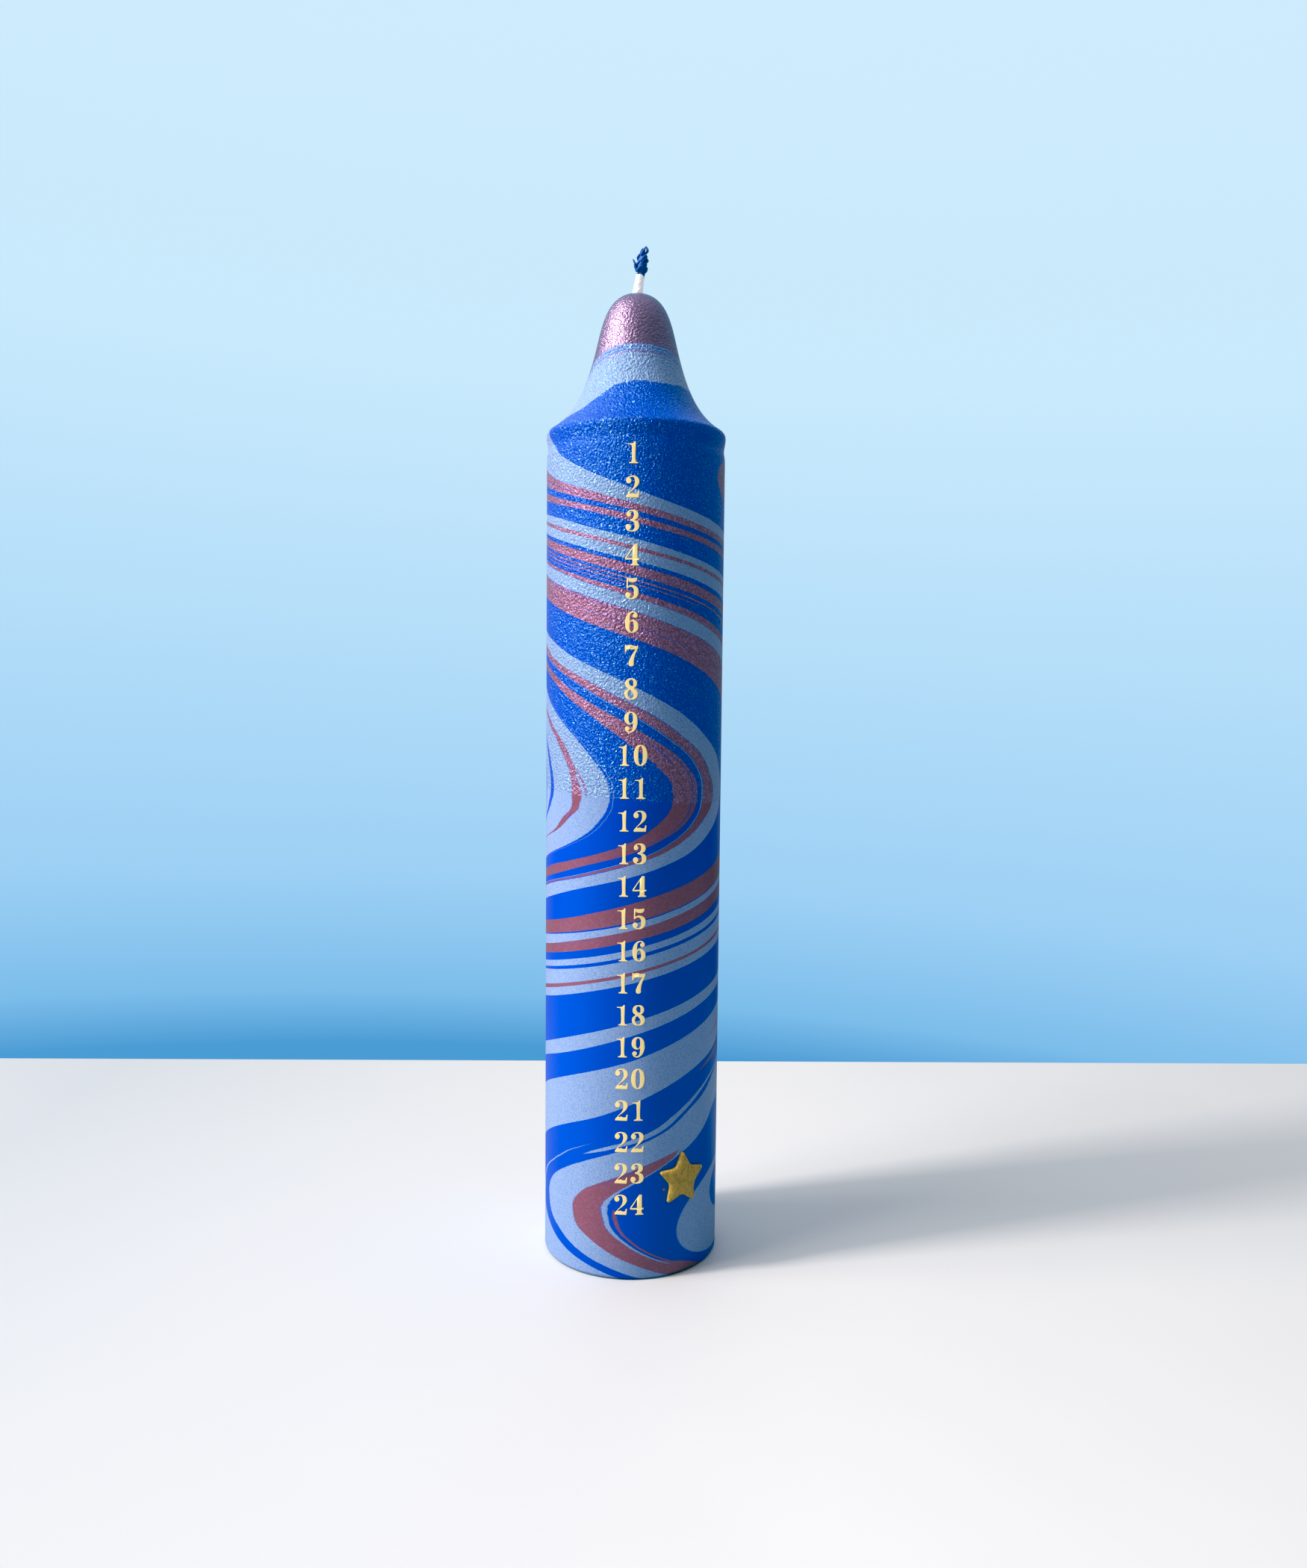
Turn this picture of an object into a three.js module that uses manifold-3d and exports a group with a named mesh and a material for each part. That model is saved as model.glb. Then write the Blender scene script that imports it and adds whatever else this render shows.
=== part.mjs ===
// Advent candle: a dipped pillar candle with a bell-shaped crown, a day-number transfer strip down its
// front and a small wax star. Millimetres, +Z up, origin on the table at the candle's axis, front to -Y.

import * as THREE from 'three';
import { mergeVertices } from 'three/addons/utils/BufferGeometryUtils.js';
import Module from 'manifold-3d';

// Pillar
const candleDiameter = 50; // outside the coloured coat
const wallHeight = 229.5; // straight wall, up to where the shoulder's lip starts
const footRound = 1.2; // rounding of the bottom edge

// Shoulder
const lipOut = 0.12; // how far the soft lip stands out from the wall
const lipHeight = 3; // from the top of the straight wall to the widest line of the lip
const shoulderRound = 1.7; // rounding from the lip into the crown
const shoulderTurn = 58; // degrees that this rounding turns through

// Bell crown, from the lip up to the very top of the wax
const crownHeight = 39.7;
const neckDiameter = 21.9; // where the flare ends and the dome begins
const neckBelowTop = 13.4;
const neckLean = 13; // degrees from upright at the neck
const shoulderPull = 9.2; // lengths of the curve handles, a longer one keeps its direction further
const neckPull = 11.1;
const domeSidePull = 8.1;
const domeTopPull = 7.1;

// Coat
const coatThickness = 0.6; // dipped, marbled wax, on the underside too

// Wick
const wickDiameter = 3.1; // in the wax
const wickFootCover = 4; // core wax left under the wick
const wickBareLength = 5.2; // white stub between the crown and the dipped tip
const wickBareDiameter = 2.5; // at the upper end of the stub
const wickEndDiameter = 1.8; // at the cut end inside the tip
const wickIntoTip = 4.4;
const tipLength = 7.8;
const tipWall = 0.35; // wax round the wick where the tip starts
const tipDiameter = 3.7; // widest place
const tipWidestHeight = 3.3; // above where the tip starts
const tipNarrowDiameter = 2.9;
const tipNarrowHeight = 5.3;
const tipPointDiameter = 1; // just below the tip's end
const tipLobes = 3; // one for each strand of the braid
const tipLobeHeight = 0.07; // share of the radius
const tipLobeTwist = 26; // degrees of turn for each millimetre of height
const wickLean = 1.9; // sideways drift of the tip's end towards +X

// Number transfer strip
const dayCount = 24;
const dayPitch = 8.82; // from the middle of one day's number to the next
const firstDayBelowWall = 5.2; // middle of day 1 below the top of the straight wall
const stripMargin = 4; // film left above day 1 and below the last day
const stripWidth = 8.9;
const stripThickness = 0.2;
const stripOffset = -0.8; // middle of the strip, along the wall from the front

// Star
const starRadius = 8.45; // centre to the corner that each tip is rounded from
const starWaist = 4.1; // centre to the corner of each notch
const starPoints = 5;
const starTipRound = 0.75;
const starNotchRound = 0.6;
const starThickness = 1.3;
const starDraft = 0.35; // how much its outline draws in towards the front
const starGap = 3; // along the wall, from the strip's edge to the circle through those corners
const starHeight = 27.4; // middle of the star above the table
const starTilt = -4.5; // degrees, clockwise as seen from outside
const starSeat = 0.3; // clearance between the star's back and the wall

// Fineness of the round shapes
const sides = 60;
const roundSteps = 3;
const flareSteps = 8;
const domeSteps = 7;
const tipSteps = 8;
const starSides = 180;
const starRoundSteps = 4;
const finestRound = 0.05; // an inner rounding never gets sharper than this

const wasm = await Module();
wasm.setup();

const wallRadius = candleDiameter / 2;
const lipTop = wallHeight + lipHeight;
const waxTop = lipTop + crownHeight;
const wickFoot = coatThickness + wickFootCover;
const tipStart = waxTop + wickBareLength;
const tipEnd = tipStart + tipLength;
const candle = new THREE.Group();

const radians = THREE.MathUtils.degToRad;

function addPart(name, geometry, color, roughness, metalness = 0) {
  const material = new THREE.MeshStandardMaterial({ color, roughness, metalness });
  const mesh = new THREE.Mesh(geometry, material);
  mesh.name = name;
  candle.add(mesh);
}

// Points of an arc round a centre, between two directions in degrees from +X.
function arcPoints(centre, radius, from, to, steps) {
  return Array.from({ length: steps + 1 }, (_, step) => {
    const angle = radians(from + ((to - from) * step) / steps);
    return new THREE.Vector2(centre.x + radius * Math.cos(angle), centre.y + radius * Math.sin(angle));
  });
}

// Points of a curve that runs upwards, moved inwards at right angles to it.
function insetCurve(curve, depth, steps) {
  return Array.from({ length: steps + 1 }, (_, step) => {
    const along = curve.getTangent(step / steps);
    const outwards = new THREE.Vector2(along.y, -along.x);
    return curve.getPoint(step / steps).addScaledVector(outwards, -depth);
  });
}

// The bell's two curves: the hollow flare up to the neck, and the dome over it.
function crownCurves() {
  const turn = radians(shoulderTurn);
  const outwards = new THREE.Vector2(Math.cos(turn), Math.sin(turn));
  const inwardsUp = new THREE.Vector2(-Math.sin(turn), Math.cos(turn));
  const roundCentre = new THREE.Vector2(wallRadius + lipOut - shoulderRound, lipTop);
  const shoulder = roundCentre.clone().addScaledVector(outwards, shoulderRound);

  const neck = new THREE.Vector2(neckDiameter / 2, waxTop - neckBelowTop);
  const upNeck = new THREE.Vector2(-Math.sin(radians(neckLean)), Math.cos(radians(neckLean)));
  const flare = new THREE.CubicBezierCurve(
    shoulder,
    shoulder.clone().addScaledVector(inwardsUp, shoulderPull),
    neck.clone().addScaledVector(upNeck, -neckPull),
    neck,
  );
  const dome = new THREE.CubicBezierCurve(
    neck,
    neck.clone().addScaledVector(upNeck, domeSidePull),
    new THREE.Vector2(domeTopPull, waxTop),
    new THREE.Vector2(0, waxTop),
  );
  return { outwards, flare, dome };
}

// Half outline of the wax at a depth under its skin, from the foot up to the wick's hole.
function waxOutline(depth) {
  const { outwards, flare, dome } = crownCurves();
  const wall = wallRadius - depth;

  const foot = Math.max(footRound - depth, finestRound);
  const footCentre = new THREE.Vector2(wall - foot, depth + foot);

  const shoulder = Math.max(shoulderRound - depth, finestRound);
  const flarePoints = insetCurve(flare, depth, flareSteps);
  const shoulderCentre = flarePoints[0].clone().addScaledVector(outwards, -shoulder);

  const points = [
    ...arcPoints(footCentre, foot, -90, 0, roundSteps),
    new THREE.Vector2(wall, wallHeight),
    ...arcPoints(shoulderCentre, shoulder, 0, shoulderTurn, roundSteps),
    ...flarePoints.slice(1),
    ...insetCurve(dome, depth, domeSteps).slice(1),
  ];
  return trimToWick(points);
}

// Cuts an outline off where it comes in to the wick's radius.
function trimToWick(points) {
  const radius = wickDiameter / 2;
  const cut = points.findIndex((point) => point.x < radius);
  const before = points[cut - 1];
  const share = (before.x - radius) / (before.x - points[cut].x);
  const edge = before.clone().lerp(points[cut], share);
  return [...points.slice(0, cut), new THREE.Vector2(radius, edge.y)];
}

// Turns a half outline round the candle's axis, which is +Z.
function revolve(points, segments = sides) {
  return new THREE.LatheGeometry(points, segments).rotateX(Math.PI / 2);
}

function coatGeometry() {
  const outside = waxOutline(0);
  const inside = waxOutline(coatThickness).reverse();
  return revolve([
    new THREE.Vector2(0, 0),
    ...outside,
    ...inside,
    new THREE.Vector2(0, coatThickness),
  ]);
}

function coreGeometry() {
  return revolve([
    new THREE.Vector2(0, coatThickness),
    ...waxOutline(coatThickness),
    new THREE.Vector2(wickDiameter / 2, wickFoot),
    new THREE.Vector2(0, wickFoot),
  ]);
}

// The wick leans further the higher it is above the wax.
function leanAboveWax(geometry) {
  const position = geometry.getAttribute('position');
  for (let index = 0; index < position.count; index += 1) {
    const rise = Math.max(position.getZ(index) - waxTop, 0) / (tipEnd - waxTop);
    position.setX(index, position.getX(index) + wickLean * rise);
  }
  return geometry;
}

// The part of the wick that the tip covers, from the stub up to the cut end.
function coveredWickPoints() {
  return [
    new THREE.Vector2(wickBareDiameter / 2, tipStart),
    new THREE.Vector2(wickEndDiameter / 2, tipStart + wickIntoTip),
    new THREE.Vector2(0, tipStart + wickIntoTip),
  ];
}

function wickGeometry() {
  const straight = revolve([
    new THREE.Vector2(0, wickFoot),
    new THREE.Vector2(wickDiameter / 2, wickFoot),
    new THREE.Vector2(wickDiameter / 2, waxTop),
    ...coveredWickPoints(),
  ]);
  return leanAboveWax(straight);
}

// A clump over the wick's cut end, pressed into lobes that wind round it as the braid's strands do.
function tipGeometry() {
  const point = tipPointDiameter / 2;
  const side = new THREE.SplineCurve([
    new THREE.Vector2(wickBareDiameter / 2 + tipWall, tipStart),
    new THREE.Vector2(tipDiameter / 2, tipStart + tipWidestHeight),
    new THREE.Vector2(tipNarrowDiameter / 2, tipStart + tipNarrowHeight),
    new THREE.Vector2(point, tipEnd - point),
  ]);
  const pocket = coveredWickPoints().reverse();
  const profile = [...pocket, ...side.getPoints(tipSteps), new THREE.Vector2(0, tipEnd)];
  const geometry = revolve(profile);

  const position = geometry.getAttribute('position');
  for (let index = 0; index < position.count; index += 1) {
    if (index % profile.length > pocket.length) {
      const x = position.getX(index);
      const y = position.getY(index);
      const turn = tipLobes * Math.atan2(y, x) + radians(tipLobeTwist) * position.getZ(index);
      const stretch = 1 + tipLobeHeight * Math.cos(turn);
      position.setXY(index, x * stretch, y * stretch);
    }
  }
  return leanAboveWax(geometry);
}

// Distance from the axis to the wall's facet in a direction, in radians from the front.
function facetRadius(angle) {
  const facet = (2 * Math.PI) / sides;
  const fromMiddle = angle - (Math.floor(angle / facet) + 0.5) * facet;
  return (wallRadius * Math.cos(facet / 2)) / Math.cos(fromMiddle);
}

// A thin film that lies on the wall's facets and bends where they do.
function stripGeometry() {
  const facet = (2 * Math.PI) / sides;
  const from = (stripOffset - stripWidth / 2) / wallRadius;
  const to = (stripOffset + stripWidth / 2) / wallRadius;
  const angles = [from];
  for (let edge = Math.floor(from / facet) + 1; edge * facet < to; edge += 1) {
    angles.push(edge * facet);
  }
  angles.push(to);

  const at = (angle, lift) => {
    const radius = facetRadius(angle) + lift;
    return new THREE.Vector2(radius * Math.sin(angle), -radius * Math.cos(angle));
  };
  const back = angles.map((angle) => at(angle, 0));
  const front = angles.map((angle) => at(angle, stripThickness)).reverse();

  const top = wallHeight - firstDayBelowWall + stripMargin;
  const height = (dayCount - 1) * dayPitch + 2 * stripMargin;
  const film = new THREE.ExtrudeGeometry(new THREE.Shape([...back, ...front]), {
    depth: height,
    bevelEnabled: false,
    curveSegments: 1,
  });
  return film.translate(0, 0, top - height);
}

// Rounds each corner of a closed outline, given anticlockwise, with an arc of its own radius.
function roundCorners(corners, radii, steps) {
  return corners.flatMap((corner, index) => {
    const back = corners.at(index - 1).clone().sub(corner).normalize();
    const on = corners[(index + 1) % corners.length].clone().sub(corner).normalize();
    const half = Math.acos(THREE.MathUtils.clamp(back.dot(on), -1, 1)) / 2;
    const middle = back.clone().add(on).normalize();
    const centre = corner.clone().addScaledVector(middle, radii[index] / Math.sin(half));
    const facing = Math.atan2(-middle.y, -middle.x);
    const sweep = (Math.PI / 2 - half) * Math.sign(-back.cross(on));
    return arcPoints(
      centre,
      radii[index],
      THREE.MathUtils.radToDeg(facing - sweep),
      THREE.MathUtils.radToDeg(facing + sweep),
      steps,
    );
  });
}

// The star's outline with every side drawn in by some amount, or out where it is negative.
function starOutline(drawnIn) {
  const middle = Math.PI / starPoints;
  const tipAngle = Math.atan2(
    starWaist * Math.sin(middle),
    starRadius - starWaist * Math.cos(middle),
  );
  const tipDistance = starRadius - drawnIn / Math.sin(tipAngle);
  const notchDistance = starWaist - drawnIn / Math.sin(Math.PI - middle - tipAngle);

  const corners = [];
  const radii = [];
  for (let index = 0; index < starPoints * 2; index += 1) {
    const isTip = index % 2 === 0;
    const angle = radians(90 + starTilt) + index * middle;
    const distance = isTip ? tipDistance : notchDistance;
    corners.push(new THREE.Vector2(distance * Math.cos(angle), distance * Math.sin(angle)));
    radii.push(isTip ? starTipRound : starNotchRound);
  }
  return roundCorners(corners, radii, starRoundSteps);
}

// A closed block between two outlines of as many points, the first at z 0 and the second at the depth.
function loft(lower, upper, depth) {
  const count = lower.length;
  const vertices = [
    ...lower.flatMap((point) => [point.x, point.y, 0]),
    ...upper.flatMap((point) => [point.x, point.y, depth]),
  ];
  const faces = [];
  for (let index = 0; index < count; index += 1) {
    const next = (index + 1) % count;
    faces.push(index, next, count + next, index, count + next, count + index);
  }
  THREE.ShapeUtils.triangulateShape(lower, []).forEach(([a, b, c]) => faces.push(c, b, a));
  THREE.ShapeUtils.triangulateShape(upper, []).forEach(([a, b, c]) => {
    faces.push(count + a, count + b, count + c);
  });
  const geometry = new THREE.BufferGeometry();
  geometry.setAttribute('position', new THREE.Float32BufferAttribute(vertices, 3));
  return geometry.setIndex(faces);
}

function solidFrom(geometry) {
  const bare = geometry.clone();
  bare.deleteAttribute('normal');
  bare.deleteAttribute('uv');
  const merged = mergeVertices(bare);
  return new wasm.Manifold(
    new wasm.Mesh({
      numProp: 3,
      vertProperties: merged.getAttribute('position').array,
      triVerts: new Uint32Array(merged.getIndex().array),
    }),
  );
}

function geometryFrom(solid) {
  const mesh = solid.getMesh();
  const geometry = new THREE.BufferGeometry();
  geometry.setAttribute('position', new THREE.BufferAttribute(mesh.vertProperties, 3));
  geometry.setIndex(new THREE.BufferAttribute(mesh.triVerts, 1));
  geometry.computeVertexNormals();
  return geometry;
}

// The star bends round the wall: a drafted block cut to a thin curved shell just outside the coat.
function starGeometry() {
  const backRadius = wallRadius + starSeat;
  const frontRadius = backRadius + starThickness;
  const blockFrom = Math.sqrt(backRadius ** 2 - starRadius ** 2) - starThickness;
  const blockTo = frontRadius + starThickness;

  const slope = starDraft / starThickness;
  const outlineAt = (radius) => starOutline(slope * (radius - backRadius));
  const block = loft(outlineAt(blockFrom), outlineAt(blockTo), blockTo - blockFrom);
  block.translate(0, 0, blockFrom);

  const stripEdge = stripOffset + stripWidth / 2;
  const turn = (stripEdge + starGap + starRadius) / wallRadius;
  block.rotateX(Math.PI / 2);
  block.rotateZ(turn);

  const halfHeight = starRadius + starThickness;
  const shell = revolve(
    [
      new THREE.Vector2(backRadius, -halfHeight),
      new THREE.Vector2(frontRadius, -halfHeight),
      new THREE.Vector2(frontRadius, halfHeight),
      new THREE.Vector2(backRadius, halfHeight),
      new THREE.Vector2(backRadius, -halfHeight),
    ],
    starSides,
  );
  const star = solidFrom(block).intersect(solidFrom(shell));
  return geometryFrom(star).translate(0, 0, starHeight);
}

addPart('wax_core', coreGeometry(), 0xf1ece0, 0.55);
addPart('colour_coat', coatGeometry(), 0x0d47b0, 0.42);
addPart('wick', wickGeometry(), 0xf4f1ea, 0.8);
addPart('wick_tip', tipGeometry(), 0x1c4fb5, 0.5);
addPart('number_strip', stripGeometry(), 0x2f66c2, 0.3);
addPart('star_ornament', starGeometry(), 0xb98f2b, 0.45, 0.6);

export default candle;
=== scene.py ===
"""Advent candle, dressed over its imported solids.

A marbled wax pillar with a bell-shaped crown, a braided wick with a frayed blue end, a clear film down the
front with gold day numbers, and a small gold wax star. Sizes in the classes are millimetres in the frame of
the solids: +Z up, the origin on the table at the candle's axis, the front to -Y. Angles round the candle are
degrees from the front, positive to the right. Meshes are scaled to metres when they are finished.
"""

import logging
import math
import random
from collections.abc import Callable, Iterable, Sequence
from dataclasses import dataclass, field
from enum import Enum

import bmesh
import bpy
from mathutils import Matrix, Vector


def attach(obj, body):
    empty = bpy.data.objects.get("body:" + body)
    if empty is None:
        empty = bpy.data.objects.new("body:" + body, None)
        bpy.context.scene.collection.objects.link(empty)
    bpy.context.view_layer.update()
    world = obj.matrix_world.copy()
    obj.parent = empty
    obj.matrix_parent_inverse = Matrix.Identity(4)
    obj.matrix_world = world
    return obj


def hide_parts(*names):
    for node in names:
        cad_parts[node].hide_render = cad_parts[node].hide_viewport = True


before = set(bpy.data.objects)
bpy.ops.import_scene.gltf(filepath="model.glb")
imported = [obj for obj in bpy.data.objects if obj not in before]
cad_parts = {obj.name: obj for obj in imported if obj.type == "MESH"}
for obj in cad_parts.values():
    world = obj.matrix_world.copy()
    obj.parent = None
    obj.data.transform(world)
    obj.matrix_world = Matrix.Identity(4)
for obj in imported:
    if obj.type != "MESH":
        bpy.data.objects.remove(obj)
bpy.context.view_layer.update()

METRES = 0.001
LOG = logging.getLogger("advent_candle")

Colour = tuple[float, float, float]
Pair = tuple[float, float]
Socket = bpy.types.NodeSocket


# Node graphs


class NodeGraph:
    """Builds the nodes of a material or of a node group with short calls."""

    def __init__(self, tree: bpy.types.NodeTree) -> None:
        """Keep the tree and clear it.

        Args:
            tree: The node tree to build in.
        """
        self.tree = tree
        tree.nodes.clear()

    def node(self, kind: str, **settings: object) -> bpy.types.Node:
        """Add a node.

        Args:
            kind: The node's type name.
            settings: Properties to set on it.

        Returns:
            The new node.
        """
        node = self.tree.nodes.new(kind)
        for name, value in settings.items():
            setattr(node, name, value)
        return node

    def feed(self, socket: Socket, value: object) -> None:
        """Link a socket to an input, or set the input's own value.

        Args:
            socket: The input.
            value: A socket, a number or a colour.
        """
        if isinstance(value, bpy.types.NodeSocket):
            self.tree.links.new(value, socket)
        elif socket.type == "RGBA" and len(value) == 3:
            socket.default_value = (*value, 1.0)
        else:
            socket.default_value = value

    def math(self, operation: str, *values: object, clamp: bool = False) -> Socket:
        """Add a Math node.

        Args:
            operation: Its operation.
            values: Its inputs, each a socket or a number.
            clamp: Whether the result is clamped to 0..1.

        Returns:
            Its output.
        """
        node = self.node("ShaderNodeMath", operation=operation, use_clamp=clamp)
        for socket, value in zip(node.inputs, values):
            self.feed(socket, value)
        return node.outputs[0]

    def step(self, value: Socket, start: float | Socket, width: float) -> Socket:
        """A soft step from 0 to 1 that starts where the value passes a number.

        Args:
            value: What is compared.
            start: Where the step begins.
            width: How far it takes.

        Returns:
            The step's output.
        """
        past = self.math("SUBTRACT", value, start)
        return self.math("DIVIDE", past, width, clamp=True)

    def band(self, value: Socket, low: float, high: float, soft: float) -> Socket:
        """A mask that is 1 between two numbers.

        Args:
            value: What is compared.
            low: The band's lower edge.
            high: Its upper edge.
            soft: The width of its soft edges.

        Returns:
            The mask.
        """
        rise = self.step(value, low, soft)
        fall = self.math("DIVIDE", self.math("SUBTRACT", high, value), soft, clamp=True)
        return self.math("MULTIPLY", rise, fall)

    def mix(self, factor: object, low: object, high: object) -> Socket:
        """Mix two numbers.

        Args:
            factor: 0 for the first, 1 for the second.
            low: The first.
            high: The second.

        Returns:
            The mixed number.
        """
        node = self.node("ShaderNodeMix", data_type="FLOAT")
        self.feed(node.inputs[0], factor)
        self.feed(node.inputs[2], low)
        self.feed(node.inputs[3], high)
        return node.outputs[0]

    def blend(self, factor: object, low: object, high: object, mode: str = "MIX") -> Socket:
        """Mix two colours.

        Args:
            factor: 0 for the first, 1 for the second.
            low: The first.
            high: The second.
            mode: How they are mixed.

        Returns:
            The mixed colour.
        """
        node = self.node("ShaderNodeMix", data_type="RGBA", blend_type=mode)
        self.feed(node.inputs[0], factor)
        self.feed(node.inputs[6], low)
        self.feed(node.inputs[7], high)
        return node.outputs[2]

    def curve(self, value: Socket, points: Sequence[Pair], span: Pair) -> Socket:
        """A smooth curve through some points, flat beyond its ends.

        Args:
            value: The curve's input, already 0 to 1 over the span.
            points: Input and output of each point, in the units of the span and of the result.
            span: The inputs that stand for 0 and 1.

        Returns:
            The curve's output, in its own units.
        """
        low = min(y for _, y in points)
        high = max(y for _, y in points)
        room = (high - low) or 1.0
        node = self.node("ShaderNodeFloatCurve")
        mapping = node.mapping
        places = [((x - span[0]) / (span[1] - span[0]), (y - low) / room) for x, y in points]
        handles = mapping.curves[0].points
        handles[0].location, handles[-1].location = places[0], places[-1]
        for place in places[1:-1]:
            handles.new(*place)
        for handle in handles:
            handle.handle_type = "AUTO_CLAMPED"
        mapping.update()
        self.feed(node.inputs["Value"], value)
        return self.math("MULTIPLY_ADD", node.outputs[0], room, low)

    def ramp(self, value: Socket, stops: Sequence[tuple[float, Colour]]) -> Socket:
        """A colour ramp.

        Args:
            value: Its input, 0 to 1.
            stops: Place and colour of each stop, in order.

        Returns:
            Its colour.
        """
        node = self.node("ShaderNodeValToRGB")
        elements = node.color_ramp.elements
        while len(elements) > 1:
            elements.remove(elements[-1])
        elements[0].position, elements[0].color = stops[0][0], (*stops[0][1], 1.0)
        for place, colour in stops[1:]:
            elements.new(place).color = (*colour, 1.0)
        self.feed(node.inputs[0], value)
        return node.outputs[0]

    def noise(self, vector: Socket, scale: float, detail: float = 2.0, rough: float = 0.5) -> Socket:
        """Add a Noise Texture.

        Args:
            vector: Where it is read.
            scale: Its scale.
            detail: How many finer layers it has.
            rough: How strong these are.

        Returns:
            Its factor, 0 to 1.
        """
        node = self.node("ShaderNodeTexNoise")
        self.feed(node.inputs["Vector"], vector)
        node.inputs["Scale"].default_value = scale
        node.inputs["Detail"].default_value = detail
        node.inputs["Roughness"].default_value = rough
        return node.outputs[0]

    def cells(self, vector: Socket, scale: float, feature: str = "F1") -> bpy.types.Node:
        """Add a Voronoi Texture.

        Args:
            vector: Where it is read.
            scale: Its scale.
            feature: What it measures.

        Returns:
            The node.
        """
        node = self.node("ShaderNodeTexVoronoi", feature=feature)
        self.feed(node.inputs["Vector"], vector)
        node.inputs["Scale"].default_value = scale
        return node

    def millimetres(self) -> Socket:
        """Return the object's own coordinates in millimetres."""
        place = self.node("ShaderNodeTexCoord").outputs["Object"]
        scale = self.node("ShaderNodeVectorMath", operation="SCALE")
        self.feed(scale.inputs[0], place)
        scale.inputs["Scale"].default_value = 1.0 / METRES
        return scale.outputs[0]

    def split(self, vector: Socket) -> tuple[Socket, Socket, Socket]:
        """Return a vector's three numbers."""
        node = self.node("ShaderNodeSeparateXYZ")
        self.feed(node.inputs[0], vector)
        return node.outputs[0], node.outputs[1], node.outputs[2]

    def join(self, x: object, y: object, z: object) -> Socket:
        """Return a vector of three numbers."""
        node = self.node("ShaderNodeCombineXYZ")
        for socket, value in zip(node.inputs, (x, y, z)):
            self.feed(socket, value)
        return node.outputs[0]

    def bump(self, height: Socket, depth: float, strength: float = 1.0) -> Socket:
        """Turn a height into a normal.

        Args:
            height: The height, 0 to 1.
            depth: What 1 stands for, in millimetres.
            strength: How much of it shows.

        Returns:
            The normal.
        """
        node = self.node("ShaderNodeBump")
        node.inputs["Strength"].default_value = strength
        node.inputs["Distance"].default_value = depth * METRES
        self.feed(node.inputs["Height"], height)
        return node.outputs[0]


class Finish:
    """A procedural material. A finish of its own fills in the shader."""

    name = "finish"

    def material(self) -> bpy.types.Material:
        """Return the material, made on its first call."""
        made = bpy.data.materials.get(self.name)
        if made:
            return made
        made = bpy.data.materials.new(self.name)
        made.use_nodes = True
        graph = NodeGraph(made.node_tree)
        output = graph.node("ShaderNodeOutputMaterial")
        shader = graph.node("ShaderNodeBsdfPrincipled")
        graph.feed(output.inputs["Surface"], shader.outputs[0])
        self.shade(graph, shader.inputs)
        return made

    def shade(self, graph: NodeGraph, shader: bpy.types.NodeInputs) -> None:
        """Fill in the shader.

        Args:
            graph: The material's nodes.
            shader: The inputs of its Principled shader.
        """
        raise NotImplementedError

    def dress(self, piece: bpy.types.Object) -> None:
        """Put the material in every slot of a piece."""
        piece.data.materials.clear()
        piece.data.materials.append(self.material())


# Marbling


class WaxTone(Enum):
    """The three waxes that were marbled together, each a corner of the pigment colour."""

    BLUE = (0.0, 0.0, 0.0)
    PALE = (1.0, 0.0, 0.0)
    COPPER = (0.0, 1.0, 0.0)


@dataclass(frozen=True)
class Streak:
    """One drawn-out streak of wax.

    Args:
        tone: Which wax it is.
        stations: Height, and where the streak starts and ends along the flow in degrees.
    """

    tone: WaxTone
    stations: tuple[tuple[float, float, float], ...]

    def middles(self) -> list[Pair]:
        """Return the streak's middle at each height."""
        return [(height, (start + end) / 2) for height, start, end in self.stations]

    def halves(self) -> list[Pair]:
        """Return half the streak's width at each height."""
        return [(height, (end - start) / 2) for height, start, end in self.stations]


@dataclass(frozen=True)
class Spot:
    """A round patch of wax.

    Args:
        tone: Which wax it is.
        angle: Its middle round the candle.
        height: Its middle above the table.
        half_angle: Half its width in degrees.
        half_height: Half its height.
        soft: Its soft edge, as a share of its size.
        slope: How much it rises for each degree to the right.
    """

    tone: WaxTone
    angle: float
    height: float
    half_angle: float
    half_height: float
    soft: float = 0.05
    slope: float = 0.0


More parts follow.
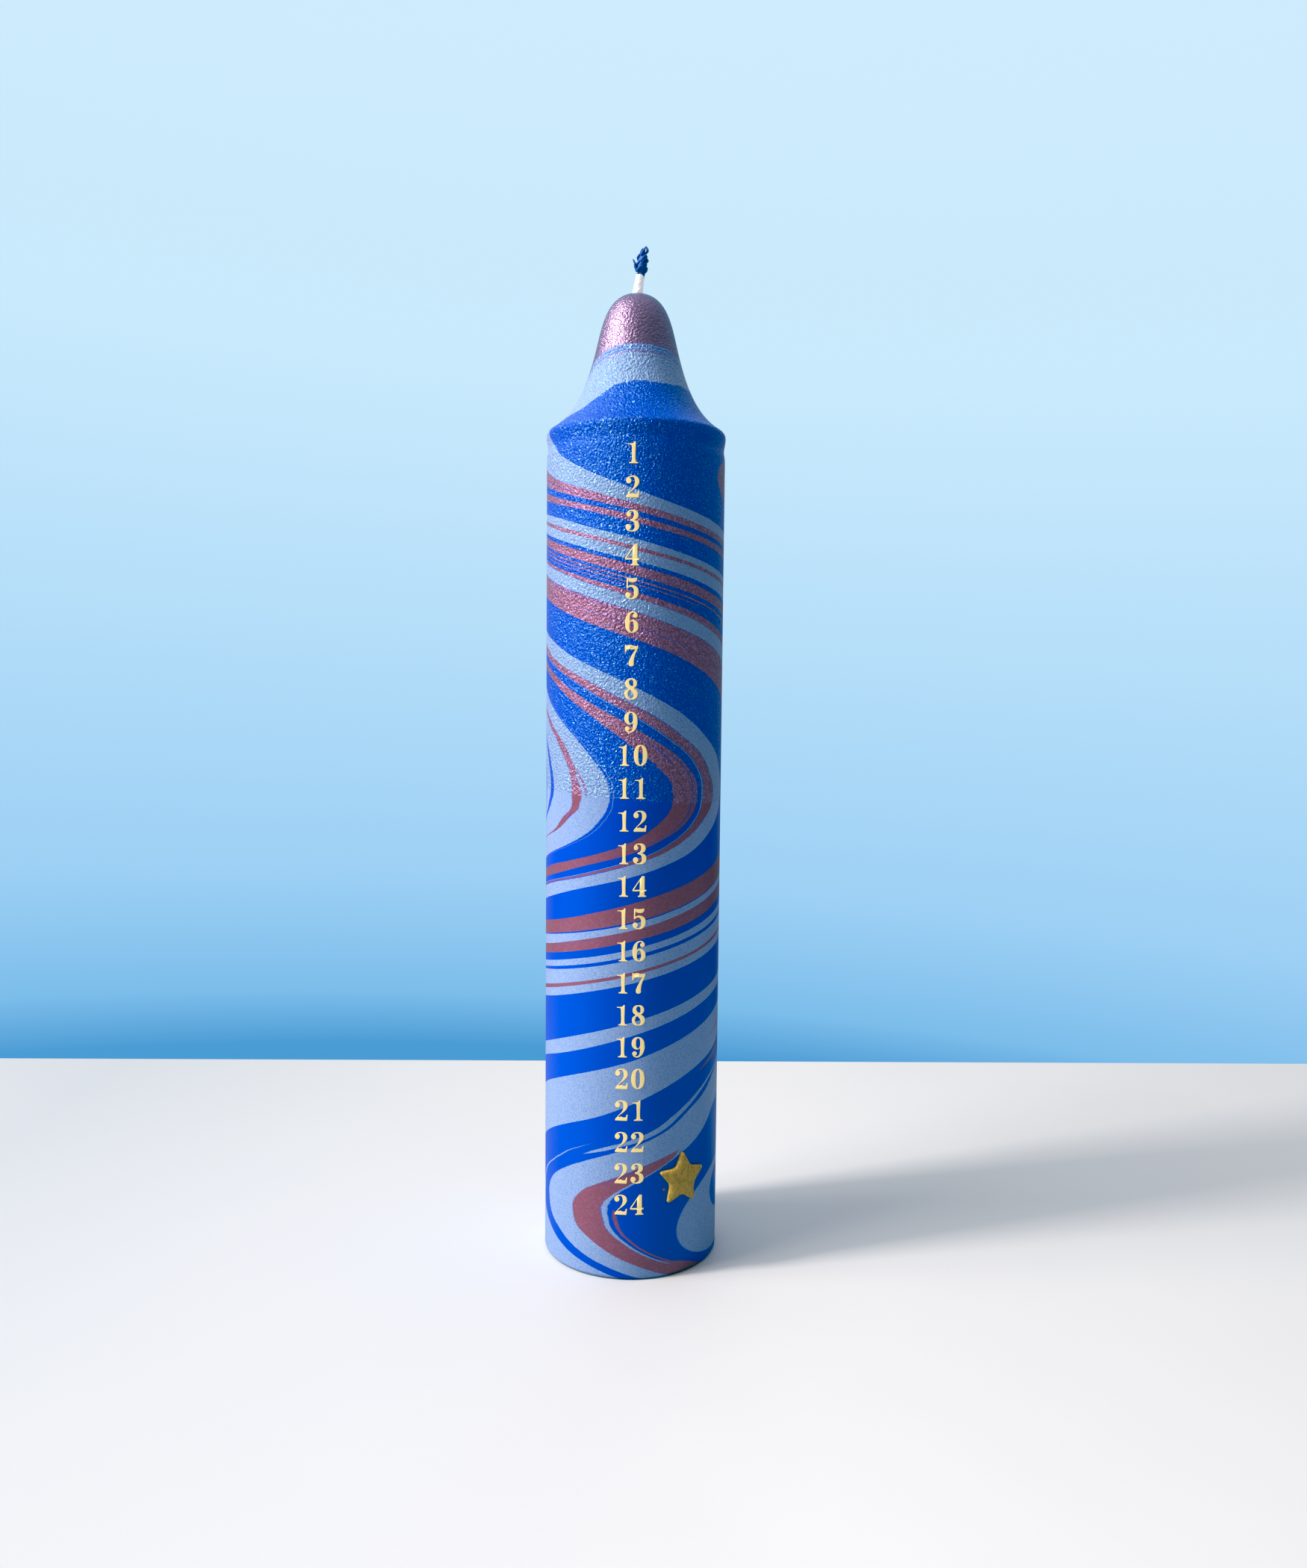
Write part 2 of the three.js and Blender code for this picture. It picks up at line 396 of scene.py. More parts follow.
@dataclass(frozen=True)
class Marbling:
    """The flow of the waxes round the wall and over the crown.

    The flow number of a point is its angle plus what the three curves of its height give. A streak follows
    one flow number, so it folds where the curves fold, and it closes round the back.
    """

    wall_top: float = 236.0
    turn: tuple[Pair, ...] = (
        (0, 604), (3, 621), (7, 636), (12, 645), (17, 646.8), (22, 645), (30, 631), (38, 611), (46, 588),
        (54, 557), (62, 509), (70, 452), (78, 380), (86, 293), (94, 203), (101, 133), (108, 81), (115, 39),
        (121, 17), (127, 7.5), (134, 4.5), (141, 7.5), (150, 20), (160, 44), (170, 83), (180, 141),
        (190, 214), (200, 300), (208, 375), (215, 432), (222, 468), (228, 488), (233, 497), (236, 497),
    )
    sway: tuple[Pair, ...] = (
        (0, -6), (10, -25), (22, -34), (34, -33), (46, -20), (60, -4), (72, 7), (84, 12), (96, 6),
        (110, -13), (122, -26), (136, -31), (150, -26), (170, -11), (186, -2), (210, -1), (236, 6),
    )
    bow: tuple[Pair, ...] = (
        (0, 0), (20, -4), (45, 2), (60, 3), (75, -2), (90, -12), (104, -20), (116, -18), (130, -7),
        (142, -5), (160, -11), (176, -4), (190, 10), (200, 13), (210, 1), (222, -15), (236, -15),
    )
    pale_from: tuple[Pair, ...] = (
        (-180, 238.5), (-160, 237), (-141, 235), (-120, 232), (-100, 231), (-80, 233), (-67, 236),
        (-55, 237), (-43, 239.3), (-30, 242.3), (-14, 244.3), (3, 244.9), (20, 244.8), (61, 244.8),
        (100, 244), (140, 241.5), (180, 238.5),
    )
    copper_from: tuple[Pair, ...] = (
        (-180, 240.5), (-160, 237), (-141, 234), (-120, 232), (-95, 236), (-85, 244), (-75, 250),
        (-69, 252), (-40, 254.5), (0, 255.6), (40, 255.2), (60, 253.5), (90, 251.5), (120, 250),
        (150, 246), (180, 240.5),
    )
    streaks: tuple[Streak, ...] = (
        Streak(WaxTone.PALE, (
            (0, -108, -83), (34, -108, -83.5), (42, -107, -83), (47, -106, -73), (54, -106, -64),
            (62, -125, -50), (76, -141, -34.5), (92, -141, -34), (104, -135, -10), (116, -100, -4.5),
            (134, -100, -2), (160, -100, -2), (176, -97, -20), (193, -94, -45), (204, -94, -40),
            (212, -94, -36), (222, -80, -50), (230, -65, -65),
        )),
        Streak(WaxTone.PALE, (
            (0, 80, 90), (30, 76, 99), (58, 74, 104), (70, 72, 103), (82, 73, 103), (93, 52, 80),
            (104, 34, 55), (116, 36, 53), (127, 38.5, 54), (134, 42, 57), (141, 39.5, 55), (150, 39, 54), (176, 38, 57),
            (188, 41, 62),
            (203, 43, 69), (216, 43, 71), (236, 43, 71),
        )),
        Streak(WaxTone.PALE, (
            (0, 140, 240.5), (10, 140, 240.5), (17, 143, 242.5), (20, 148, 242), (24, 149, 219),
            (32, 150, 215), (58, 151, 216), (72, 150, 213), (82, 146, 190), (92, 141, 168),
            (104, 147, 164), (120, 150, 170), (134, 152, 176), (165, 160, 186), (185, 161, 187),
            (197, 160, 189), (206, 163, 185), (213, 172, 172),
        )),
        Streak(WaxTone.COPPER, (
            (104, 22, 24), (109, 10, 22.4), (112, 8.5, 22.3), (115, 11.5, 22.6), (118, 13, 23.5), (122, 14.5, 25.5),
            (127, 16, 28), (134, 17, 29), (141, 15.5, 27.5), (150, 14.5, 25),
            (166, 15.5, 23), (180, 8, 20), (200, -2, 15), (217, 0, 14), (230, -2, 12), (236, -4, 14),
        )),
        Streak(WaxTone.BLUE, (
            (112, 19, 19), (122, 22.5, 23.2), (134, 25.6, 26.4), (146, 23, 23.6), (156, 20.5, 20.5),
        )),
        Streak(WaxTone.BLUE, ((118, 22.6, 22.6), (128, 26.2, 26.7), (138, 26.8, 27.3), (150, 22.6, 22.6))),
        Streak(WaxTone.COPPER, (
            (100, 32, 33), (110, 32, 34.5), (118, 32, 36.5), (127, 32, 38.5), (134, 32.5, 42), (141, 32, 39.5), (150, 31.5, 39),
            (172, 31, 39), (186, 28, 42), (203, 27, 43), (220, 25, 43), (236, 24, 43),
        )),
        Streak(WaxTone.COPPER, (
            (64, 189, 189), (68, 187, 191), (74, 160, 185), (84, 120, 160), (93, 105, 140),
            (103, 101.5, 145), (120, 103, 152), (134, 106, 157), (160, 113, 161), (192, 114, 160),
            (201, 116, 158), (206, 122, 150), (210, 136, 136),
        )),
        Streak(WaxTone.COPPER, (
            (56, 227, 227), (59, 224, 230), (66, 220, 230), (76, 190, 215), (88, 169, 196),
            (104, 163, 196), (120, 170, 196), (134, 175, 197), (165, 185, 200), (184, 187, 200),
            (197, 190, 197), (208, 192, 197), (214, 195, 195),
        )),
        Streak(WaxTone.COPPER, (
            (130, 244, 244), (150, 240, 250), (184, 235, 256), (196, 233, 256), (206, 233, 256),
            (214, 240, 250), (220, 246, 246),
        )),
        Streak(WaxTone.COPPER, (
            (0, 269, 296), (2.4, 269, 294), (4, 269, 289), (6, 269, 283), (10, 269, 281),
            (17, 269, 279.5), (24, 269, 278), (30, 269, 276.5), (34, 270, 275.5), (36.5, 272, 272),
            (60, 285, 285), (72, 290, 298), (78, 291, 302), (91, 290, 300), (104, 305, 318),
            (117, 329, 330), (121, 336, 337.5), (124, 341, 343.5), (127.5, 342.5, 346), (130.7, 345, 348.4),
            (134.4, 344.3, 349.0), (138, 344.7, 348.0), (142, 345.2, 349.0), (149, 344.6, 349.0), (156, 343.5, 346.8),
            (170, 325, 328), (185, 296, 303), (193, 292, 301),
            (206, 291, 301), (216, 291, 301), (226, 296, 296),
        )),
        Streak(WaxTone.BLUE, (
            (70, 243, 243), (83, 238, 246), (89, 239, 251), (100, 239, 250), (112, 290, 296),
            (126, 322, 325), (131, 327, 331), (135, 329, 333), (148, 328, 331), (158, 312, 312),
        )),
        Streak(WaxTone.COPPER, (
            (133, 350.4, 350.6), (135, 349.6, 350.6), (138, 349, 350.2), (142, 347.6, 348.8), (147, 347, 347),
        )),
        Streak(WaxTone.BLUE, ((124, 316, 316), (134, 320, 322), (144, 320, 320))),
        Streak(WaxTone.PALE, (
            (100, -13.5, -13.5), (108, -6.8, -6.3), (116, -3.8, -3.3), (134, -1.3, -0.8), (160, -1.3, -0.8),
            (172, -12, -12),
        )),
        Streak(WaxTone.PALE, (
            (104, 30.5, 31), (110, 30.6, 31.6), (118, 31.0, 32), (127, 31.2, 32.2), (134, 31.4, 32.8), (141, 31.2, 32.2),
            (150, 30.6, 31.5), (168, 30.2, 30.9), (178, 30, 30),
        )),
        Streak(WaxTone.PALE, (
            (34.4, 246.5, 246.5), (38, 245.5, 249.5), (44, 247, 251.5), (50, 247, 251), (58, 249.5, 249.5),
        )),
        Streak(WaxTone.PALE, (
            (18, 241, 244), (28, 241.8, 243.2), (34, 240.2, 241.2), (39, 239, 239),
        )),
        Streak(WaxTone.PALE, (
            (3, 284, 284), (6, 281.5, 283.5), (12, 280, 282), (18, 279, 281), (24, 277.5, 279),
            (31, 276, 277), (35, 276, 276),
        )),
        Streak(WaxTone.COPPER, (
            (4, 288, 288), (6, 284.5, 286.5), (12, 283, 284.5), (17, 282, 283.5), (20, 282, 282),
        )),
        Streak(WaxTone.COPPER, ((188, 207, 207), (195, 206, 208), (206, 206, 208), (212, 207, 207))),
        Streak(WaxTone.COPPER, ((184, 215, 215), (193, 214, 217), (206, 214, 217), (212, 215, 215))),
        Streak(WaxTone.COPPER, ((172, 224, 224), (180, 222, 226), (206, 223, 226), (212, 224, 224))),
    )
    spots: tuple[Spot, ...] = (
        Spot(WaxTone.COPPER, 90, 220.5, 28, 6.5, 0.12),
        Spot(WaxTone.PALE, 89, 16.0, 58.5, 13.2, 0.02, 0.06),
        Spot(WaxTone.BLUE, 90, 19.5, 25.3, 7.6, 0.03),
        Spot(WaxTone.COPPER, 21.7, 25.1, 1.4, 0.5, 0.4),
    )
    streak_edge: float = 0.45

    def group(self) -> bpy.types.NodeTree:
        """Return the node group that says which wax is where, made on its first call."""
        made = bpy.data.node_groups.get("marbling")
        if made:
            return made
        tree = bpy.data.node_groups.new("marbling", "ShaderNodeTree")
        for name in ("Pale", "Copper", "Flow", "Angle"):
            tree.interface.new_socket(name, in_out="OUTPUT", socket_type="NodeSocketFloat")
        graph = NodeGraph(tree)
        place = graph.millimetres()
        x, y, z = graph.split(place)
        angle = graph.math("ARCTAN2", x, graph.math("MULTIPLY", y, -1.0))
        level = graph.math("DIVIDE", z, self.wall_top)
        flow = self._flow(graph, place, angle, level)
        degrees = graph.math("MULTIPLY", angle, 180 / math.pi)
        pigment = self._wall(graph, flow, level, degrees, z)
        pigment = self._crown(graph, pigment, degrees, z, place)
        parts = graph.node("ShaderNodeSeparateColor")
        graph.feed(parts.inputs[0], pigment)
        output = graph.node("NodeGroupOutput")
        for socket, value in zip(output.inputs, (parts.outputs[0], parts.outputs[1], flow, degrees)):
            graph.feed(socket, value)
        return tree

    def _flow(self, graph: NodeGraph, place: Socket, angle: Socket, level: Socket) -> Socket:
        """The flow number, with the slight waver of poured wax.

        Args:
            graph: The group's nodes.
            place: The point in millimetres.
            angle: Its angle in radians.
            level: Its height, 0 to 1 over the wall.

        Returns:
            The flow number in degrees.
        """
        span = (0.0, self.wall_top)
        flow = graph.math("MULTIPLY_ADD", angle, 180 / math.pi, graph.curve(level, self.turn, span))
        sway = graph.curve(level, self.sway, span)
        flow = graph.math("MULTIPLY_ADD", sway, graph.math("SINE", angle), flow)
        bow = graph.curve(level, self.bow, span)
        fall = graph.math("SUBTRACT", graph.math("COSINE", angle), 1.0)
        flow = graph.math("MULTIPLY_ADD", bow, fall, flow)
        waver = graph.math("SUBTRACT", graph.noise(place, 0.11, 1.0), 0.5)
        flow = graph.math("MULTIPLY_ADD", waver, 0.8, flow)
        nibble = graph.math("SUBTRACT", graph.noise(place, 1.3, 2.0), 0.5)
        return graph.math("MULTIPLY_ADD", nibble, 0.8, flow)

    def _wall(self, graph: NodeGraph, flow: Socket, level: Socket, degrees: Socket, z: Socket) -> Socket:
        """The wall's pigment, streak over streak.

        Args:
            graph: The group's nodes.
            flow: The flow number.
            level: The height, 0 to 1 over the wall.
            degrees: The angle round the candle.
            z: The height in millimetres.

        Returns:
            The pigment colour.
        """
        span = (0.0, self.wall_top)
        pigment: object = WaxTone.BLUE.value
        for streak in self.streaks:
            middle = graph.curve(level, streak.middles(), span)
            away = graph.math("ABSOLUTE", graph.math("WRAP", graph.math("SUBTRACT", flow, middle), 180, -180))
            half = graph.curve(level, streak.halves(), span)
            inside = graph.math("DIVIDE", graph.math("SUBTRACT", half, away), self.streak_edge, clamp=True)
            low, high = streak.stations[0][0], streak.stations[-1][0]
            if low > 0 or high < self.wall_top:
                inside = graph.math("MULTIPLY", inside, graph.band(z, low - 0.2, high + 0.2, 0.2))
            pigment = graph.blend(inside, pigment, streak.tone.value)
        for spot in self.spots:
            across = graph.math("SUBTRACT", degrees, spot.angle)
            side = graph.math("DIVIDE", across, spot.half_angle)
            rise = graph.math("SUBTRACT", graph.math("SUBTRACT", z, spot.height), graph.math("MULTIPLY", across, spot.slope))
            rise = graph.math("DIVIDE", rise, spot.half_height)
            far = graph.math("SQRT", graph.math("MULTIPLY_ADD", side, side, graph.math("MULTIPLY", rise, rise)))
            inside = graph.math("DIVIDE", graph.math("SUBTRACT", 1.0, far), spot.soft, clamp=True)
            pigment = graph.blend(inside, pigment, spot.tone.value)
        return pigment

    def _crown(self, graph: NodeGraph, wall: Socket, degrees: Socket, z: Socket, place: Socket) -> Socket:
        """Lays the crown's blue, pale and copper over the wall's pigment.

        Args:
            graph: The group's nodes.
            wall: The wall's pigment.
            degrees: The angle round the candle.
            z: The height in millimetres.
            place: The point in millimetres.

        Returns:
            The pigment colour.
        """
        around = graph.math("DIVIDE", graph.math("ADD", degrees, 180.0), 360.0)
        waver = graph.math("SUBTRACT", graph.noise(place, 0.35, 2.0), 0.5)
        height = graph.math("MULTIPLY_ADD", waver, 0.9, z)
        nibble = graph.math("SUBTRACT", graph.noise(place, 1.5, 2.0), 0.5)
        height = graph.math("MULTIPLY_ADD", nibble, 0.9, height)
        pigment = graph.blend(graph.step(z, self.wall_top - 0.2, 0.4), wall, WaxTone.BLUE.value)
        pale = graph.step(height, graph.curve(around, self.pale_from, (-180.0, 180.0)), 0.35)
        pigment = graph.blend(pale, pigment, WaxTone.PALE.value)
        lift = graph.math("SUBTRACT", height, graph.curve(around, self.copper_from, (-180.0, 180.0)))
        pigment = graph.blend(graph.step(lift, -0.2, 0.9), pigment, WaxTone.COPPER.value)
        for low, high, tone in ((-3.2, -2.9, WaxTone.COPPER), (-2.3, -1.7, WaxTone.COPPER),
                                (-1.7, -1.2, WaxTone.BLUE), (-0.9, -0.3, WaxTone.BLUE)):
            line = graph.math("MULTIPLY", graph.band(lift, low, high, 0.2), 0.7)
            pigment = graph.blend(line, pigment, tone.value)
        return pigment


@dataclass(frozen=True)
class MarbledWax(Finish):
    """Marbled dipping wax with a fine orange-peel skin.

    Args:
        name: The material's name.
        blue: The deep blue wax.
        pale: The pale blue wax.
        copper: The copper wax.
        dip_line: Where the smoother second coat starts, left and right.
        peel: How deep the orange peel is above the dip line.
        smooth_peel: How deep it is below it.
    """

    name: str = "marbled_skin"
    marbling: Marbling = field(default_factory=Marbling)
    blue: Colour = (0.0, 0.045, 0.66)
    blue_light: Colour = (0.0, 0.072, 0.80)
    pale_dark: Colour = (0.21, 0.36, 0.80)
    pale: Colour = (0.37, 0.50, 0.88)
    pale_light: Colour = (0.50, 0.62, 0.93)
    copper: Colour = (0.44, 0.11, 0.17)
    copper_upper: Colour = (0.42, 0.115, 0.21)
    copper_dome: Colour = (0.36, 0.205, 0.345)
    # Lighter pearly flakes in the copper, partly the pigment's own and partly painted glint.
    copper_light: Colour = (0.88, 0.55, 1.0)
    spark: Colour = (0.38, 0.68, 1.0)
    roughness: float = 0.31
    smooth_roughness: float = 0.33
    peel: float = 0.68
    dome_peel: float = 0.36
    smooth_peel: float = 0.06
    peel_size: float = 0.64
    dip_line: Pair = (134.6, 131.0)

    def shade(self, graph: NodeGraph, shader: bpy.types.NodeInputs) -> None:
        """Fill in the shader.

        Args:
            graph: The material's nodes.
            shader: The inputs of its Principled shader.
        """
        group = graph.node("ShaderNodeGroup")
        group.node_tree = self.marbling.group()
        pale, copper, flow, degrees = group.outputs
        place = graph.millimetres()
        x, _, z = graph.split(place)

        middle = (self.dip_line[0] + self.dip_line[1]) / 2
        fall = (self.dip_line[1] - self.dip_line[0]) / 50.0
        edge = graph.math("MULTIPLY_ADD", x, -fall, z)
        rough_skin = graph.step(edge, middle - 0.3, 0.6)

        cloud = graph.noise(place, 0.05, 3.0)
        speck = graph.noise(place, 2.6, 2.0, 0.6)
        blue = graph.blend(cloud, self.blue, self.blue_light)
        whites = graph.blend(graph.step(speck, 0.5, 0.2), self.pale, self.pale_light)
        whites = graph.blend(graph.step(speck, 0.46, -0.14), whites, self.pale_dark)
        around = graph.math("MULTIPLY", flow, math.pi / 180)
        fibre = graph.noise(
            graph.join(
                graph.math("MULTIPLY", graph.math("COSINE", around), 26.0),
                graph.math("MULTIPLY", graph.math("SINE", around), 26.0),
                graph.math("MULTIPLY", z, 0.05),
            ),
            1.0,
            2.0,
        )
        dome = graph.math("MULTIPLY", copper, graph.step(z, 240.0, 8.0))
        # Lighter flakes in the copper, denser above the dip line: partly pearl pigment, partly painted glint.
        flake = graph.split(graph.cells(place, 2.8).outputs["Color"])
        pearl_and_glint = graph.step(flake[0], 0.45, 0.5)
        pearl_and_glint = graph.math("MULTIPLY", pearl_and_glint, graph.mix(rough_skin, 0.1, graph.mix(dome, 0.45, 0.16)))
        coppers = graph.blend(rough_skin, self.copper, self.copper_upper)
        coppers = graph.blend(dome, coppers, self.copper_dome)
        coppers = graph.blend(pearl_and_glint, coppers, self.copper_light)
        coppers = graph.blend(graph.math("MULTIPLY", graph.step(fibre, 0.66, 0.06), 0.6), coppers, self.blue_light)
        colour = graph.blend(pale, blue, whites)
        fleck = graph.split(graph.cells(place, 3.8).outputs["Color"])[0]
        spark = graph.math("MULTIPLY", graph.step(fleck, 0.88, 0.06), rough_skin)
        colour = graph.blend(graph.math("MULTIPLY", spark, 0.55), colour, self.spark)
        colour = graph.blend(copper, colour, coppers)
        graph.feed(shader["Base Color"], colour)
        shine = graph.math("MULTIPLY", copper, graph.mix(dome, 0.35, 0.72))
        graph.feed(shader["Metallic"], graph.math("MAXIMUM", shine, graph.math("MULTIPLY", spark, 0.9)))

        graph.feed(shader["Roughness"], graph.mix(rough_skin, self.smooth_roughness, self.roughness))
        shader["Specular IOR Level"].default_value = 1.0
        shader["Specular Tint"].default_value = (0.38, 0.84, 1.0, 1.0)

        lumps = graph.noise(place, 1.0 / self.peel_size, 2.0, 0.55)
        depth = graph.mix(rough_skin, self.smooth_peel, graph.mix(dome, self.peel, self.dome_peel))
        lumps = graph.math("MULTIPLY", graph.math("SUBTRACT", lumps, 0.5), depth)
        graph.feed(shader["Normal"], graph.bump(lumps, 1.0))


@dataclass(frozen=True)
class CoreWax(Finish):
    """Plain uncoloured candle wax."""

    name: str = "plain_wax"
    colour: Colour = (0.80, 0.74, 0.62)
    shade_colour: Colour = (0.70, 0.63, 0.50)

    def shade(self, graph: NodeGraph, shader: bpy.types.NodeInputs) -> None:
        """Fill in the shader.

        Args:
            graph: The material's nodes.
            shader: The inputs of its Principled shader.
        """
        place = graph.millimetres()
        cloud = graph.noise(place, 0.12, 3.0)
        graph.feed(shader["Base Color"], graph.blend(cloud, self.shade_colour, self.colour))
        graph.feed(shader["Roughness"], graph.mix(cloud, 0.45, 0.6))
        graph.feed(shader["Normal"], graph.bump(graph.noise(place, 1.4, 2.0), 0.03))


@dataclass(frozen=True)
class NumberFoil(Finish):
    """Pale gold transfer foil, darker towards its printed edge, with a faint painted glow."""

    name: str = "number_foil"
    gold: Colour = (1.0, 0.75, 0.26)
    edge: Colour = (0.80, 0.42, 0.08)
    light: Colour = (1.0, 0.80, 0.36)

    def shade(self, graph: NodeGraph, shader: bpy.types.NodeInputs) -> None:
        """Fill in the shader.

        Args:
            graph: The material's nodes.
            shader: The inputs of its Principled shader.
        """
        place = graph.millimetres()
        rim = graph.node("ShaderNodeAttribute", attribute_name="rim").outputs["Fac"]
        worn = graph.noise(place, 1.6, 3.0, 0.6)
        gold = graph.blend(graph.step(worn, 0.42, 0.25), self.gold, self.light)
        graph.feed(shader["Base Color"], graph.blend(graph.math("MULTIPLY", rim, 0.75), gold, self.edge))
        graph.feed(shader["Roughness"], graph.mix(worn, 0.3, 0.5))
        shader["Metallic"].default_value = 0.0
        # The foil is made to glow faintly in its light gold: painted light.
        shader["Emission Color"].default_value = (*self.light, 1.0)
        shader["Emission Strength"].default_value = 0.36
        graph.feed(shader["Normal"], graph.bump(graph.noise(place, 3.0, 2.0), 0.02))


@dataclass(frozen=True)
class GoldFace(Finish):
    """Pressed wax sheet with a grainy, brushed gold face, its lighter grains partly painted glint."""

    name: str = "gold_face"
    gold: Colour = (1.0, 0.60, 0.05)
    dark: Colour = (0.66, 0.36, 0.015)
    light: Colour = (1.0, 0.90, 0.42)

    def shade(self, graph: NodeGraph, shader: bpy.types.NodeInputs) -> None:
        """Fill in the shader.

        Args:
            graph: The material's nodes.
            shader: The inputs of its Principled shader.
        """
        place = graph.millimetres()
        x, y, z = graph.split(place)
        brushed = graph.join(graph.math("MULTIPLY", x, 1.0), y, graph.math("MULTIPLY", z, 0.45))
        strokes = graph.noise(brushed, 1.5, 4.0, 0.65)
        grain = graph.noise(place, 5.0, 2.0, 0.7)
        colour = graph.blend(graph.step(strokes, 0.38, 0.16), self.dark, self.gold)
        # Lighter grains, raised in the bump: partly the face's own grain, partly painted glint.
        colour = graph.blend(graph.step(grain, 0.56, 0.1), colour, self.light)
        graph.feed(shader["Base Color"], colour)
        graph.feed(shader["Roughness"], graph.mix(strokes, 0.35, 0.6))
        shader["Metallic"].default_value = 0.05
        height = graph.math("MULTIPLY_ADD", grain, 0.5, strokes)
        graph.feed(shader["Normal"], graph.bump(height, 0.26))


@dataclass(frozen=True)
class Cotton(Finish):
    """Waxed cotton yarn, blue with dipping wax where it was dipped, with painted shade in its grooves and a painted
    glow.

    Args:
        name: The material's name.
        dipped_from: Height above which the blue wax covers the yarn.
        cover: Share of the yarn that the blue covers there.
    """

    name: str = "white_yarn"
    dipped_from: float = 277.4
    cover: float = 1.0
    white: Colour = (0.96, 0.97, 0.98)
    # Painted shade: the darker white and the darker blue below are the yarn in its grooves.
    groove: Colour = (0.82, 0.86, 0.92)
    blue: Colour = (0.02, 0.15, 0.64)
    dark_blue: Colour = (0.008, 0.05, 0.34)

    def shade(self, graph: NodeGraph, shader: bpy.types.NodeInputs) -> None:
        """Fill in the shader.

        Args:
            graph: The material's nodes.
            shader: The inputs of its Principled shader.
        """
        place = graph.millimetres()
        x, _, z = graph.split(place)
        fibre = graph.noise(graph.join(x, graph.split(place)[1], graph.math("MULTIPLY", z, 0.35)), 7.0, 3.0, 0.6)
        patch = graph.noise(place, 1.1, 2.0, 0.6)
        # Where the fibre bump is low, in its grooves, the white and the blue are darker: painted shade.
        white = graph.blend(graph.step(fibre, 0.35, 0.3), self.groove, self.white)
        blue = graph.blend(graph.step(fibre, 0.35, 0.3), self.dark_blue, self.blue)
        ragged = graph.math("MULTIPLY_ADD", graph.math("SUBTRACT", patch, 0.5), 5.0, z)
        ragged = graph.math("MULTIPLY_ADD", graph.math("SUBTRACT", x, 1.0), 0.6, ragged)
        dipped = graph.step(ragged, self.dipped_from, 0.6)
        graph.feed(shader["Base Color"], graph.blend(graph.math("MULTIPLY", dipped, self.cover), white, blue))
        graph.feed(shader["Roughness"], graph.mix(dipped, 0.8, 0.45))
        shader["Sheen Weight"].default_value = 0.2
        # The white yarn glows faintly: painted light.
        painted_glow = graph.blend(graph.math("MULTIPLY", dipped, self.cover), white, (0.0, 0.0, 0.0))
        graph.feed(shader["Emission Color"], painted_glow)
        shader["Emission Strength"].default_value = 0.4
        graph.feed(shader["Normal"], graph.bump(fibre, 0.08))


@dataclass(frozen=True)
class PaintedTable(Finish):
    """White painted board that the candle stands on."""

    name: str = "table_paint"
    white: Colour = (0.92, 0.895, 0.865)
    shade_white: Colour = (0.88, 0.86, 0.84)
    left_white: Colour = (0.60, 0.62, 0.64)
    bounce: Colour = (0.32, 0.36, 0.40)

    def shade(self, graph: NodeGraph, shader: bpy.types.NodeInputs) -> None:
        """Fill in the shader.

        Args:
            graph: The material's nodes.
            shader: The inputs of its Principled shader.
        """
        place = graph.millimetres()
        cloud = graph.noise(place, 0.02, 3.0)
        paint = graph.blend(cloud, self.shade_white, self.white)
        # Darker towards the left of the board: painted shade.
        left = graph.math("DIVIDE", graph.math("SUBTRACT", 40.0, graph.split(place)[0]), 260.0, clamp=True)
        paint = graph.blend(left, paint, self.left_white)
        # Rays other than the camera's see the darker bounce colour, so the board sheds less light on the candle:
        # painted shade.
        seen = graph.node("ShaderNodeLightPath").outputs["Is Camera Ray"]
        graph.feed(shader["Base Color"], graph.blend(seen, self.bounce, paint))
        shader["Roughness"].default_value = 0.6
        graph.feed(shader["Normal"], graph.bump(graph.noise(place, 0.6, 3.0), 0.02))


# Meshes


